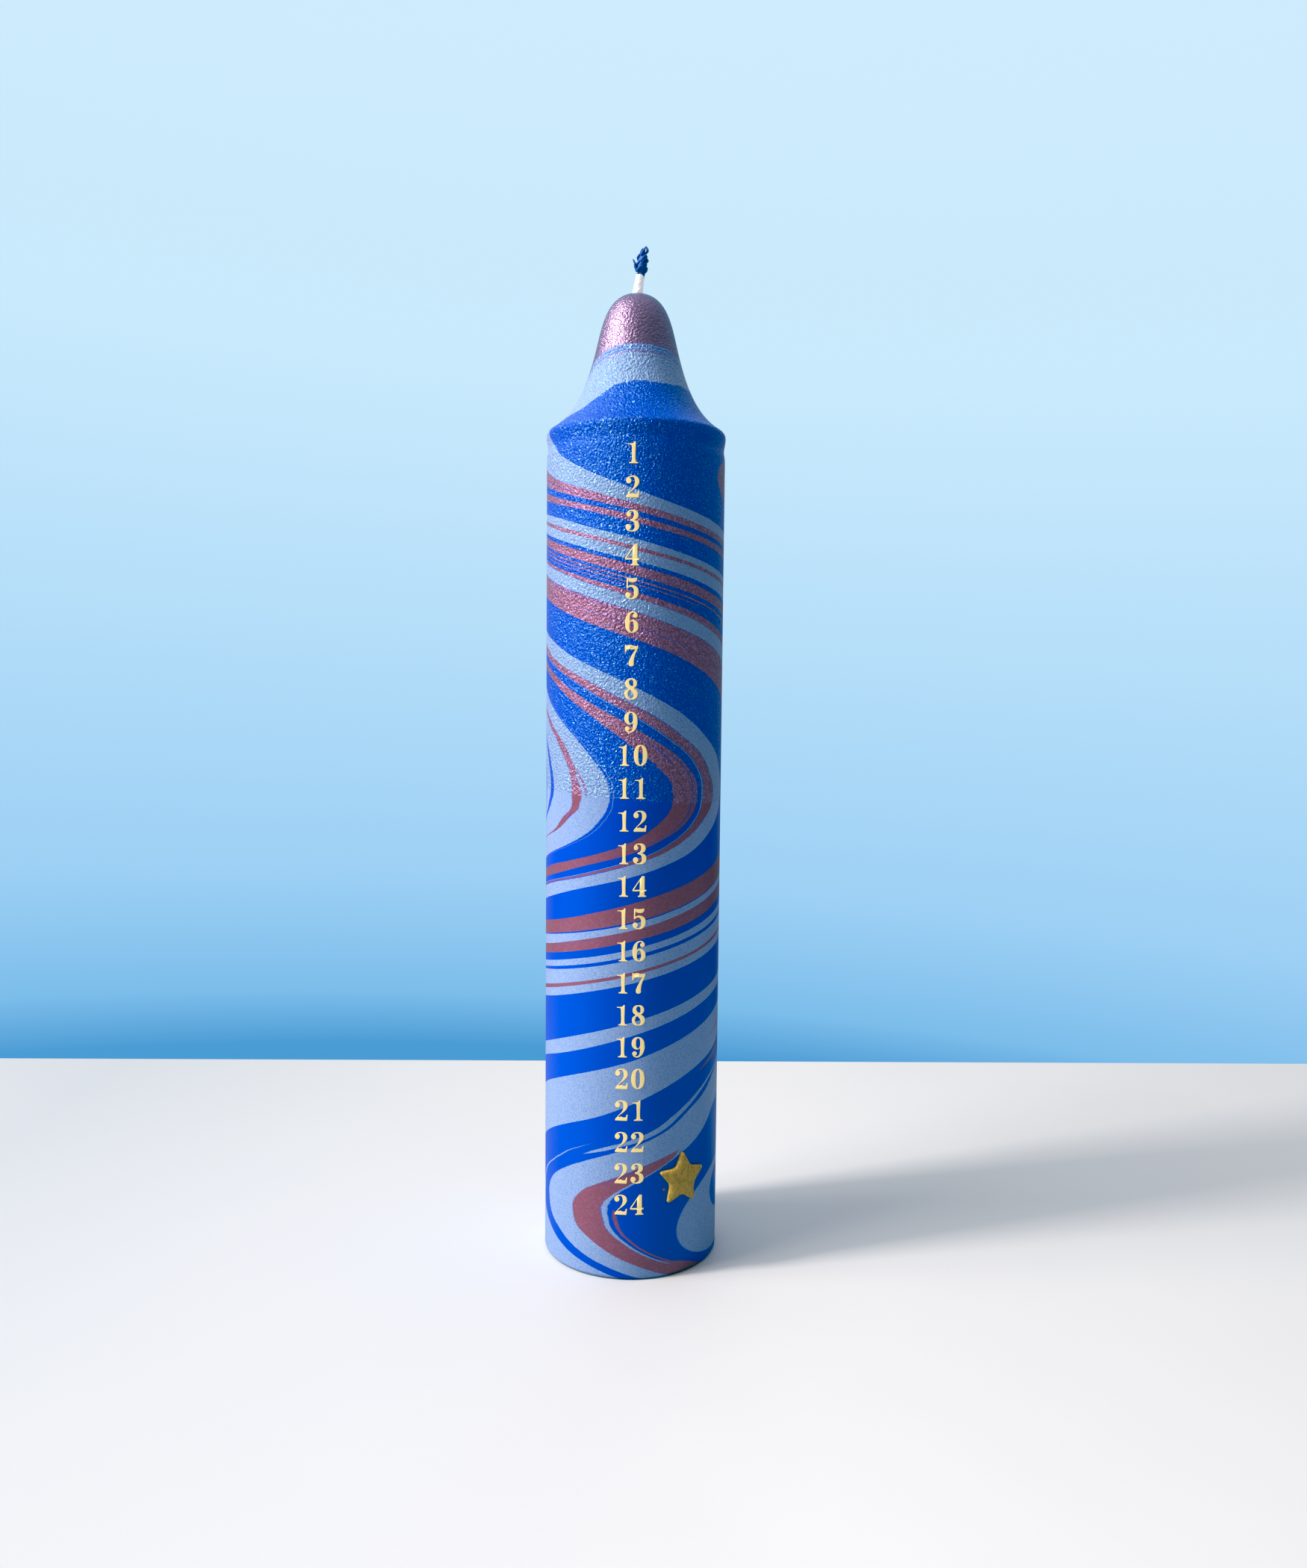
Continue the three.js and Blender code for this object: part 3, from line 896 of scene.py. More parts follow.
class Modelling:
    """Shared steps for making a piece's mesh."""

    @staticmethod
    def finish(mesh: bmesh.types.BMesh, name: str, merge: float = 1e-4) -> bpy.types.Object:
        """Close a mesh in millimetres and make it an object in metres.

        Args:
            mesh: The mesh, which is freed.
            name: The object's name.
            merge: Distance under which points are one.

        Returns:
            The new object, at the origin.
        """
        bmesh.ops.remove_doubles(mesh, verts=mesh.verts, dist=merge)
        bmesh.ops.dissolve_degenerate(mesh, edges=mesh.edges, dist=merge)
        bmesh.ops.recalc_face_normals(mesh, faces=mesh.faces)
        bmesh.ops.scale(mesh, vec=(METRES,) * 3, verts=mesh.verts)
        for face in mesh.faces:
            face.smooth = True
        data = bpy.data.meshes.new(name)
        mesh.to_mesh(data)
        mesh.free()
        piece = bpy.data.objects.new(name, data)
        bpy.context.scene.collection.objects.link(piece)
        return piece

    @staticmethod
    def place(piece: bpy.types.Object, slot: str, *nodes: str) -> None:
        """Fix a piece to the candle and hide the CAD nodes that it replaces.

        Args:
            piece: The piece.
            slot: The record's material slot; not used.
            nodes: The CAD nodes that it replaces.
        """
        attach(piece, "root")
        if nodes:
            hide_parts(*nodes)
        LOG.info("%s: %d faces", piece.name, len(piece.data.polygons))

    @staticmethod
    def revolve(mesh: bmesh.types.BMesh, outline: Sequence[Pair], steps: int) -> None:
        """Turn a half outline round the candle's axis.

        Args:
            mesh: Where it goes.
            outline: Radius and height of each point.
            steps: Sides of the full turn.
        """
        points = [mesh.verts.new((radius, 0.0, height)) for radius, height in outline]
        edges = [mesh.edges.new(pair) for pair in zip(points, points[1:])]
        bmesh.ops.spin(
            mesh, geom=points + edges, cent=(0, 0, 0), axis=(0, 0, 1), dvec=(0, 0, 0),
            angle=math.tau, steps=steps, use_merge=True, use_duplicate=False,
        )

    @staticmethod
    def wrap(mesh: bmesh.types.BMesh, radius: float) -> None:
        """Bend a mesh that lies in XY, with its height along Z, round the wall.

        X becomes the way round the wall at its radius, Y the height above the table, and Z the way out.

        Args:
            mesh: What is bent.
            radius: The wall's radius, where Z is 0.
        """
        for point in mesh.verts:
            turn = point.co.x / radius
            out = radius + point.co.z
            point.co = Vector((out * math.sin(turn), -out * math.cos(turn), point.co.y))

    @staticmethod
    def slice_upright(mesh: bmesh.types.BMesh, spacing: float, way: Vector = Vector((1, 0, 0))) -> None:
        """Cut a flat mesh by parallel planes, so that it can bend.

        Args:
            mesh: What is cut.
            spacing: Distance between the cuts.
            way: The direction from one cut to the next.
        """
        places = [point.co.dot(way) for point in mesh.verts]
        low, high = min(places), max(places)
        for cut in range(1, math.ceil((high - low) / spacing)):
            bmesh.ops.bisect_plane(
                mesh, geom=mesh.verts[:] + mesh.edges[:] + mesh.faces[:], dist=1e-5,
                plane_co=way * (low + cut * spacing), plane_no=way,
            )

    @staticmethod
    def tube(mesh: bmesh.types.BMesh, path: Sequence[Vector], widths: Sequence[float], sides: int) -> None:
        """Sweep a ring along a path, with closed round ends.

        Args:
            mesh: Where it goes.
            path: Points along its middle.
            widths: Its radius at each point.
            sides: Sides of the ring.
        """
        count = len(path)
        ways = [
            (path[min(index + 1, count - 1)] - path[max(index - 1, 0)]).normalized() for index in range(count)
        ]
        turn = ways[0].to_track_quat("Z", "X")
        ring = bmesh.ops.create_circle(
            mesh, cap_ends=True, radius=widths[0], segments=sides,
            matrix=Matrix.Translation(path[0]) @ turn.to_matrix().to_4x4(),
        )["verts"]
        cap = ring[0].link_faces[0]
        for index in range(1, count):
            grown = bmesh.ops.extrude_face_region(mesh, geom=[cap])["geom"]
            if index > 1:
                bmesh.ops.delete(mesh, geom=[cap], context="FACES_ONLY")
            cap = next(item for item in grown if isinstance(item, bmesh.types.BMFace))
            bend = ways[index - 1].rotation_difference(ways[index]).to_matrix()
            scale = widths[index] / widths[index - 1]
            for point in cap.verts:
                point.co = path[index] + bend @ (point.co - path[index - 1]) * scale


@dataclass
class WaxBody:
    """The wax pillar: its marbled coat, made anew as one smooth skin, and the plain core under it."""

    radius: float = 25.0
    wall_height: float = 229.5
    foot_round: float = 1.2
    lip_out: float = 0.12
    lip_height: float = 3.0
    groove: float = 0.32
    shoulder_round: float = 1.7
    shoulder_turn: float = 58.0
    top: float = 272.2
    neck: Pair = (10.95, 258.8)
    neck_lean: float = 13.0
    shoulder_pull: float = 9.2
    neck_pull: float = 11.1
    dome_side_pull: float = 8.1
    dome_top_pull: float = 7.1
    coat: float = 0.6
    wick_radius: float = 1.55
    sides: int = 240
    finish: Finish = field(default_factory=MarbledWax)
    core_finish: Finish = field(default_factory=CoreWax)

    @staticmethod
    def bezier(ends: Sequence[Vector], steps: int) -> list[Vector]:
        """Points of a cubic curve.

        Args:
            ends: Its four control points.
            steps: How many pieces it is cut into.

        Returns:
            Its points, ends included.
        """
        start, pull, push, end = ends
        points = []
        for step in range(steps + 1):
            t = step / steps
            u = 1 - t
            points.append(start * u ** 3 + pull * (3 * u * u * t) + push * (3 * u * t * t) + end * t ** 3)
        return points

    def _arc(self, centre: Vector, radius: float, start: float, end: float, steps: int) -> list[Vector]:
        """Points of an arc between two directions in degrees.

        Args:
            centre: The arc's middle.
            radius: Its radius.
            start: Direction of its first point.
            end: Direction of its last point.
            steps: How many pieces it is cut into.

        Returns:
            Its points.
        """
        turns = (math.radians(start + (end - start) * step / steps) for step in range(steps + 1))
        return [centre + Vector((math.cos(turn), math.sin(turn))) * radius for turn in turns]

    def outside(self) -> list[Vector]:
        """Return the coat's half outline from the foot to the wick's hole."""
        turn = math.radians(self.shoulder_turn)
        outwards = Vector((math.cos(turn), math.sin(turn)))
        inwards_up = Vector((-math.sin(turn), math.cos(turn)))
        lip = self.wall_height + self.lip_height
        round_middle = Vector((self.radius + self.lip_out - self.shoulder_round, lip))
        shoulder = round_middle + outwards * self.shoulder_round
        neck = Vector(self.neck)
        lean = math.radians(self.neck_lean)
        up_neck = Vector((-math.sin(lean), math.cos(lean)))
        foot = Vector((self.radius - self.foot_round, self.foot_round))
        bottom, wall_end = Vector((self.radius, self.foot_round)), Vector((self.radius, self.wall_height - 3.5))
        wall = [bottom.lerp(wall_end, step / 30) for step in range(1, 31)]
        groove = Vector((self.radius - self.groove, self.wall_height - 0.6))
        lip_side = Vector((self.radius + self.lip_out, lip))
        swell = self.bezier((wall_end, wall_end + Vector((0, 1.4)), groove - Vector((0, 1.2)), groove), 6)
        swell += self.bezier((groove, groove + Vector((0, 1.3)), lip_side - Vector((0, 1.3)), lip_side), 8)[1:]
        flare = self.bezier(
            (shoulder, shoulder + inwards_up * self.shoulder_pull, neck - up_neck * self.neck_pull, neck), 40
        )
        dome = self.bezier(
            (neck, neck + up_neck * self.dome_side_pull, Vector((self.dome_top_pull, self.top)),
             Vector((0, self.top))), 30
        )
        points = self._arc(foot, self.foot_round, -90, 0, 8) + wall + swell[1:]
        points += self._arc(round_middle, self.shoulder_round, 0, self.shoulder_turn, 8)[1:] + flare[1:]
        points += [point for point in dome[1:] if point.x > self.wick_radius + 0.05]
        return points + [Vector((self.wick_radius, self.top - 0.02))]

    def inside(self, outer: Sequence[Vector]) -> list[Vector]:
        """The coat's inner wall, one thickness in from the outline.

        Args:
            outer: The outline.

        Returns:
            The inner outline from the wick's hole down to the foot.
        """
        inner = []
        for index in range(3, len(outer), 3):
            along = (outer[min(index + 1, len(outer) - 1)] - outer[index - 1]).normalized()
            inner.append(outer[index] - Vector((along.y, -along.x)) * self.coat)
        inner[0] = Vector((self.radius - self.coat, self.coat))
        inner = [point for point in inner if point.x > self.wick_radius + 0.2]
        return list(reversed(inner + [Vector((self.wick_radius, self.top - self.coat))]))

    def build(self) -> None:
        """Make the coat and dress the core."""
        outer = self.outside()
        outline = [Vector((0, 0)), *outer, *self.inside(outer), Vector((0, self.coat))]
        mesh = bmesh.new()
        Modelling.revolve(mesh, [tuple(point) for point in outline], self.sides)
        coat = Modelling.finish(mesh, "marbled_coat")
        self.finish.dress(coat)
        Modelling.place(coat, "marbled_wax", "colour_coat")
        self.core_finish.dress(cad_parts["wax_core"])
        LOG.info("wax_core: dressed")


@dataclass
class TransferFilm:
    """The clear film down the front. It shows the marbling under it, a little glossier."""

    left: float = -4.86
    right: float = 3.73
    bottom: float = 17.6
    top: float = 228.3
    thickness: float = 0.02
    wall: float = 25.0
    finish: Finish = field(
        default_factory=lambda: MarbledWax(
            name="film_over_marbling", smooth_roughness=0.28, smooth_peel=0.03,
        )
    )

    def build(self) -> None:
        """Make the film and wrap it on the wall."""
        mesh = bmesh.new()
        width, height = self.right - self.left, self.top - self.bottom
        middle = ((self.left + self.right) / 2, (self.bottom + self.top) / 2)
        place = Matrix.Translation((*middle, self.thickness)) @ Matrix.Diagonal((width, height, 1, 1))
        bmesh.ops.create_grid(mesh, x_segments=1, y_segments=60, size=0.5, matrix=place)
        Modelling.slice_upright(mesh, 0.45)
        bmesh.ops.recalc_face_normals(mesh, faces=mesh.faces)
        if sum(face.normal.z for face in mesh.faces) < 0:
            bmesh.ops.reverse_faces(mesh, faces=mesh.faces)
        bmesh.ops.solidify(mesh, geom=mesh.faces, thickness=self.thickness)
        Modelling.wrap(mesh, self.wall)
        film = Modelling.finish(mesh, "transfer_film")
        film.data.shade_flat()
        self.finish.dress(film)
        Modelling.place(film, "transfer_film", "number_strip")


CORNER = True
Knot = tuple[float, float] | tuple[float, float, bool]
Contour = tuple[Knot, ...]

ONE: tuple[Contour, ...] = (
    (
        (0.08, 0.0, CORNER), (0.50, 0.0, CORNER), (0.50, 0.05, CORNER), (0.42, 0.065), (0.385, 0.11),
        (0.385, 1.0, CORNER), (0.335, 1.0, CORNER), (0.27, 0.93), (0.16, 0.905), (0.01, 0.90, CORNER),
        (0.01, 0.855, CORNER), (0.14, 0.85), (0.20, 0.80, CORNER), (0.20, 0.11), (0.165, 0.065),
        (0.08, 0.05, CORNER),
    ),
)
SIX: tuple[Contour, ...] = (
    (
        (0.475, 0.905, CORNER), (0.40, 0.85), (0.39, 0.77), (0.47, 0.70), (0.58, 0.74), (0.60, 0.84),
        (0.53, 0.95), (0.38, 1.0), (0.17, 0.90), (0.04, 0.66), (0.02, 0.40), (0.10, 0.12), (0.32, 0.0),
        (0.56, 0.09), (0.64, 0.31), (0.57, 0.52), (0.38, 0.61), (0.235, 0.55, CORNER), (0.24, 0.72),
        (0.29, 0.89), (0.39, 0.945),
    ),
    (
        (0.33, 0.555), (0.415, 0.47), (0.43, 0.30), (0.41, 0.13), (0.33, 0.05), (0.25, 0.13),
        (0.23, 0.30), (0.25, 0.47),
    ),
)
DIGITS: dict[str, tuple[Contour, ...]] = {
    "0": (
        (
            (0.33, 1.0), (0.54, 0.90), (0.63, 0.70), (0.65, 0.5), (0.63, 0.30), (0.54, 0.10), (0.33, 0.0),
            (0.12, 0.10), (0.03, 0.30), (0.01, 0.5), (0.03, 0.70), (0.12, 0.90),
        ),
        (
            (0.33, 0.945), (0.40, 0.86), (0.43, 0.68), (0.435, 0.5), (0.43, 0.32), (0.40, 0.14),
            (0.33, 0.055), (0.26, 0.14), (0.23, 0.32), (0.225, 0.5), (0.23, 0.68), (0.26, 0.86),
        ),
    ),
    "1": ONE,
    "2": (
        (
            (0.03, 0.0, CORNER), (0.03, 0.07, CORNER), (0.17, 0.24), (0.34, 0.43), (0.42, 0.62),
            (0.42, 0.80), (0.37, 0.92), (0.27, 0.945), (0.19, 0.91), (0.25, 0.84), (0.26, 0.74),
            (0.20, 0.66), (0.10, 0.65), (0.03, 0.72), (0.03, 0.83), (0.13, 0.95), (0.32, 1.0),
            (0.54, 0.94), (0.63, 0.77), (0.59, 0.60), (0.44, 0.43), (0.27, 0.29), (0.19, 0.19),
            (0.32, 0.20), (0.44, 0.16), (0.53, 0.17), (0.58, 0.30, CORNER), (0.635, 0.30, CORNER),
            (0.61, 0.0, CORNER),
        ),
    ),
    "3": (
        (
            (0.19, 0.92), (0.245, 0.84), (0.24, 0.74), (0.16, 0.68), (0.07, 0.71), (0.04, 0.80),
            (0.12, 0.94), (0.32, 1.0), (0.53, 0.94), (0.60, 0.77), (0.55, 0.62), (0.42, 0.53, CORNER),
            (0.57, 0.46), (0.64, 0.28), (0.56, 0.08), (0.32, 0.0), (0.10, 0.05), (0.01, 0.18),
            (0.04, 0.30), (0.14, 0.34), (0.24, 0.28), (0.26, 0.18), (0.19, 0.08), (0.30, 0.055),
            (0.40, 0.12), (0.425, 0.27), (0.38, 0.43), (0.22, 0.495, CORNER), (0.22, 0.55, CORNER),
            (0.34, 0.61), (0.39, 0.76), (0.36, 0.90), (0.28, 0.945),
        ),
    ),
    "4": (
        (
            (0.57, 1.0, CORNER), (0.45, 1.0, CORNER), (0.0, 0.34, CORNER), (0.0, 0.27, CORNER),
            (0.34, 0.27, CORNER), (0.34, 0.11), (0.315, 0.065), (0.26, 0.05, CORNER), (0.26, 0.0, CORNER),
            (0.65, 0.0, CORNER), (0.65, 0.05, CORNER), (0.60, 0.065), (0.57, 0.11), (0.57, 0.27, CORNER),
            (0.66, 0.27, CORNER), (0.66, 0.34, CORNER), (0.57, 0.34, CORNER),
        ),
        ((0.34, 0.34, CORNER), (0.34, 0.78, CORNER), (0.06, 0.34, CORNER)),
    ),
    "5": (
        (
            (0.08, 1.0, CORNER), (0.20, 0.975), (0.38, 0.97), (0.56, 1.0, CORNER), (0.55, 0.88),
            (0.47, 0.80), (0.30, 0.79), (0.14, 0.84, CORNER), (0.135, 0.60, CORNER), (0.25, 0.65),
            (0.42, 0.645), (0.58, 0.54), (0.63, 0.32), (0.54, 0.09), (0.32, 0.0), (0.11, 0.05),
            (0.02, 0.18), (0.06, 0.30), (0.16, 0.32), (0.25, 0.25), (0.25, 0.15), (0.20, 0.08),
            (0.30, 0.055), (0.40, 0.13), (0.42, 0.32), (0.39, 0.50), (0.28, 0.575), (0.18, 0.55),
            (0.12, 0.49, CORNER), (0.07, 0.49, CORNER),
        ),
    ),
    "6": SIX,
    "7": (
        (
            (0.02, 0.64, CORNER), (0.07, 0.64, CORNER), (0.12, 0.75), (0.22, 0.80), (0.36, 0.785),
            (0.53, 0.80, CORNER), (0.38, 0.56), (0.25, 0.30), (0.20, 0.10), (0.25, 0.015), (0.34, 0.0),
            (0.43, 0.05), (0.44, 0.22), (0.49, 0.50), (0.645, 0.86, CORNER), (0.645, 0.965, CORNER),
            (0.55, 0.945), (0.42, 0.965), (0.28, 1.0), (0.17, 0.99), (0.10, 0.95, CORNER),
            (0.08, 1.0, CORNER), (0.03, 1.0, CORNER),
        ),
    ),
    "8": (
        (
            (0.33, 1.0), (0.53, 0.94), (0.60, 0.77), (0.55, 0.62), (0.47, 0.545), (0.59, 0.44),
            (0.64, 0.26), (0.56, 0.07), (0.33, 0.0), (0.10, 0.07), (0.02, 0.25), (0.07, 0.42),
            (0.18, 0.51), (0.09, 0.61), (0.05, 0.76), (0.12, 0.93),
        ),
        (
            (0.33, 0.95), (0.41, 0.89), (0.43, 0.77), (0.40, 0.63), (0.31, 0.65), (0.24, 0.74),
            (0.23, 0.86),
        ),
        ((0.26, 0.46), (0.19, 0.36), (0.18, 0.19), (0.31, 0.05), (0.43, 0.11), (0.44, 0.24), (0.36, 0.38)),
    ),
    "9": tuple(
        tuple((round(0.66 - knot[0], 3), round(1 - knot[1], 3), *knot[2:]) for knot in contour)
        for contour in SIX
    ),
}


@dataclass
class DayNumbers:
    """The gold foil day numbers, one below the other on the film."""

    days: int = 24
    first_height: float = 224.27
    pitch: float = 8.816
    size: float = 5.65
    single_column: float = -0.82
    left_column: float = -2.62
    right_column: float = 1.82
    foil: float = 0.05
    rim: float = 0.09
    surface: float = 25.02
    finish: Finish = field(default_factory=NumberFoil)

    def _flat_digit(self, digit: str) -> bpy.types.Mesh:
        """A digit as a flat filled curve, turned into a mesh.

        Args:
            digit: The digit.

        Returns:
            Its mesh, one unit high.
        """
        curve = bpy.data.curves.new("digit_" + digit, "CURVE")
        curve.dimensions = "2D"
        curve.fill_mode = "BOTH"
        curve.resolution_u = 5
        for contour in DIGITS[digit]:
            spline = curve.splines.new("BEZIER")
            spline.bezier_points.add(len(contour) - 1)
            spline.use_cyclic_u = True
            for point, knot in zip(spline.bezier_points, contour):
                kind = "VECTOR" if len(knot) > 2 else "AUTO"
                point.handle_left_type = point.handle_right_type = kind
                point.co = (knot[0], knot[1], 0.0)
        carrier = bpy.data.objects.new("digit_carrier", curve)
        bpy.context.scene.collection.objects.link(carrier)
        graph = bpy.context.evaluated_depsgraph_get()
        flat = bpy.data.meshes.new_from_object(carrier.evaluated_get(graph))
        bpy.data.objects.remove(carrier)
        bpy.data.curves.remove(curve)
        return flat

    def _foil_digit(self, digit: str) -> bmesh.types.BMesh:
        """A digit as closed foil in millimetres, centred, with its rim marked.

        Args:
            digit: The digit.

        Returns:
            The digit's mesh.
        """
        mesh = bmesh.new()
        mesh.from_mesh(self._flat_digit(digit))
        bmesh.ops.remove_doubles(mesh, verts=mesh.verts, dist=1e-5)
        width = max(point.co.x for point in mesh.verts) + min(point.co.x for point in mesh.verts)
        bmesh.ops.translate(mesh, vec=(-width / 2, -0.5, 0), verts=mesh.verts)
        bmesh.ops.scale(mesh, vec=(self.size,) * 3, verts=mesh.verts)
        bmesh.ops.recalc_face_normals(mesh, faces=mesh.faces)
        if mesh.faces[0].normal.z < 0:
            bmesh.ops.reverse_faces(mesh, faces=mesh.faces)
        rim = mesh.verts.layers.float.new("rim")
        for point in mesh.verts:
            point[rim] = 1.0
        border = set(mesh.verts)
        bmesh.ops.inset_region(
            mesh, faces=mesh.faces, thickness=self.rim, depth=self.foil * 0.4, use_boundary=True,
            use_even_offset=True,
        )
        for point in mesh.verts:
            if point not in border:
                point[rim] = 0.0
        Modelling.slice_upright(mesh, 0.5)
        grown = bmesh.ops.extrude_face_region(mesh, geom=mesh.faces[:], use_keep_orig=True)["geom"]
        raised = [item for item in grown if isinstance(item, bmesh.types.BMVert)]
        bmesh.ops.translate(mesh, vec=(0, 0, self.foil), verts=raised)
        return mesh

    def build(self) -> None:
        """Make every number and wrap them on the film."""
        glyphs = {digit: self._foil_digit(digit) for digit in DIGITS}
        all_numbers = bmesh.new()
        for day in range(1, self.days + 1):
            text = str(day)
            columns = (self.single_column,) if len(text) == 1 else (self.left_column, self.right_column)
            for digit, column in zip(text, columns):
                copy = glyphs[digit].copy()
                height = self.first_height - self.pitch * (day - 1)
                bmesh.ops.translate(copy, vec=(column, height, 0), verts=copy.verts)
                data = bpy.data.meshes.new("digit")
                copy.to_mesh(data)
                all_numbers.from_mesh(data)
                bpy.data.meshes.remove(data)
                copy.free()
        Modelling.wrap(all_numbers, self.surface)
        numbers = Modelling.finish(all_numbers, "day_numbers", 1e-5)
        self.finish.dress(numbers)
        Modelling.place(numbers, "gold_wax")


@dataclass
class Star:
    """The pressed wax star to the right of the last numbers."""

    arc: float = 15.1
    height: float = 27.4
    wall: float = 25.02
    thickness: float = 1.35
    edge_round: float = 0.55
    crown: float = 0.42
    tips: tuple[Pair, ...] = ((90.7, 8.0), (14.0, 7.9), (-62.0, 8.0), (-129.0, 8.0), (158.0, 7.9))
    notches: tuple[Pair, ...] = ((52.5, 4.1), (-24.0, 4.15), (-95.0, 4.1), (-165.0, 4.15), (124.0, 4.05))
    finish: Finish = field(default_factory=GoldFace)

    @staticmethod
    def _distance(point: Vector, start: Vector, end: Vector) -> float:
        """Distance from a point to a straight piece of the outline.

        Args:
            point: The point.
            start: The piece's first end.
            end: Its second end.

        Returns:
            The distance.
        """
        along = end - start
        share = max(0.0, min(1.0, (point - start).dot(along) / max(along.length_squared, 1e-12)))
        return (point - start - along * share).length

    def build(self) -> None:
        """Make the star and press it round the wall."""
        mesh = bmesh.new()
        corners = sorted(self.tips + self.notches, key=lambda corner: corner[0] % 360)
        points = [
            mesh.verts.new((far * math.cos(math.radians(turn)), far * math.sin(math.radians(turn)), 0))
            for turn, far in corners
        ]
        mesh.faces.new(points)
        mesh.normal_update()
        bmesh.ops.bevel(
            mesh, geom=points, offset=1.0, offset_type="OFFSET", affect="VERTICES", segments=5,
            profile=0.5, material=-1,
        )
        bmesh.ops.recalc_face_normals(mesh, faces=mesh.faces)
        face = mesh.faces[0]
        if face.normal.z < 0:
            bmesh.ops.reverse_faces(mesh, faces=mesh.faces)
        grown = bmesh.ops.extrude_face_region(mesh, geom=[face], use_keep_orig=True)["geom"]
        raised = [item for item in grown if isinstance(item, bmesh.types.BMVert)]
        bmesh.ops.translate(mesh, vec=(0, 0, self.thickness - self.edge_round), verts=raised)
        front = max(mesh.faces, key=lambda item: item.calc_center_median().z)
        for inset, lift in ((0.08, 0.14), (0.10, 0.07)):
            bmesh.ops.inset_region(mesh, faces=[front], thickness=inset, depth=lift, use_even_offset=True)
            front = max(mesh.faces, key=lambda item: item.calc_center_median().z)
        rim = [point.co.copy() for point in front.verts]
        level = front.verts[0].co.z
        Modelling.slice_upright(mesh, 0.4)
        Modelling.slice_upright(mesh, 0.4, Vector((0, 1, 0)))
        for point in mesh.verts:
            if point.co.z > level - 1e-4:
                inwards = min(self._distance(point.co, *piece) for piece in zip(rim, rim[1:] + rim[:1]))
                point.co.z += self.crown * (1 - math.exp(-inwards / 0.8))
        bmesh.ops.translate(mesh, vec=(self.arc, self.height, 0), verts=mesh.verts)
        Modelling.wrap(mesh, self.wall)
        star = Modelling.finish(mesh, "wax_star")
        self.finish.dress(star)
        Modelling.place(star, "gold_wax", "star_ornament")


@dataclass
class Wick:
    """The braided cotton wick: its stub in the wax and above it, and the frayed blue end."""

    foot: float = 4.6
    wax_top: float = 272.2
    stub_top: float = 277.6
    end: float = 285.2
    lean: float = 1.9
    radius: float = 1.55
    upper_radius: float = 1.25
    strands: int = 4
    strand: float = 0.7
    braid_pitch: float = 9.0
    seed: int = 24
    stub_finish: Finish = field(default_factory=Cotton)
    tip_finish: Finish = field(
        default_factory=lambda: Cotton(name="dipped_yarn", dipped_from=276.6)
    )

    def _drift(self, height: float) -> float:
        """Return how far the wick leans to the right at a height."""
        return self.lean * max(height - self.wax_top, 0) / (self.end - self.wax_top)

    def _stub(self) -> bpy.types.Object:
        """Return the plaited stub, its strands wound round a waxed middle."""
        mesh = bmesh.new()
        spine = [Vector((self._drift(z), 0, z)) for z in (self.foot, 268.0, *range(270, 281))]
        widths = [1.42 if point.z < self.wax_top else 1.42 - 0.05 * (point.z - self.wax_top) for point in spine]
        Modelling.tube(mesh, spine, widths, 16)
        for strand in range(self.strands):
            path, radii = [], []
            for step in range(61):
                z = 266.0 + 14.5 * step / 60
                turn = math.tau * ((z - 266.0) / self.braid_pitch + strand / self.strands)
                size = self.radius + (self.upper_radius - self.radius) * max(z - self.wax_top, 0) / 5.4
                reach = size - self.strand
                path.append(Vector((self._drift(z) + reach * math.sin(turn), -reach * math.cos(turn), z)))
                radii.append(self.strand * size / self.radius)
            Modelling.tube(mesh, path, radii, 12)
        return Modelling.finish(mesh, "wick_stub")

    def _frayed_end(self) -> bpy.types.Object:
        """Return the clumped, ragged end with its loops of loosened yarn."""
        mesh = bmesh.new()
        chance = random.Random(self.seed)
        core = [Vector((self._drift(z), 0, z)) for z in (277.0, 278.5, 280.0, 281.5, 283.0, 284.2)]
        Modelling.tube(mesh, core, (1.1, 1.35, 1.4, 1.25, 0.8, 0.3), 12)
        for loop in range(16):
            start = 277.2 + 6.0 * loop / 16 + chance.uniform(-0.3, 0.3)
            turn = chance.uniform(0, math.tau)
            bulge = 1.0 if start < 281.5 else 0.65
            path, radii = [], []
            for step in range(13):
                share = step / 12
                z = start + 2.6 * share
                reach = bulge * (0.75 + 0.75 * math.sin(math.pi * share) + chance.uniform(-0.05, 0.05))
                swing = turn + 1.6 * share
                path.append(Vector((
                    self._drift(z) + reach * math.cos(swing), reach * math.sin(swing), z,
                )))
                radii.append(0.36 * (0.55 + 0.45 * math.sin(math.pi * share)))
            Modelling.tube(mesh, path, radii, 8)
        stray = [Vector(point) for point in (
            (0.2, -0.6, 277.4), (-0.35, -0.9, 278.6), (-0.75, -0.9, 279.6), (-0.8, -0.8, 280.5),
            (-1.1, -0.75, 281.2), (-1.35, -0.7, 281.6),
        )]
        Modelling.tube(mesh, stray, (0.3, 0.34, 0.34, 0.3, 0.26, 0.12), 8)
        peak = [Vector(point) for point in (
            (1.5, 0, 282.6), (1.45, -0.1, 283.4), (1.75, -0.1, 284.2), (1.9, 0, 284.8), (2.05, 0, 285.15),
        )]
        Modelling.tube(mesh, peak, (0.5, 0.55, 0.42, 0.25, 0.08), 8)
        return Modelling.finish(mesh, "wick_end")

    def build(self) -> None:
        """Make both parts of the wick."""
        stub = self._stub()
        self.stub_finish.dress(stub)
        Modelling.place(stub, "cotton_wick", "wick")
        tip = self._frayed_end()
        self.tip_finish.dress(tip)
        Modelling.place(tip, "dipped_wick", "wick_tip")


# Studio


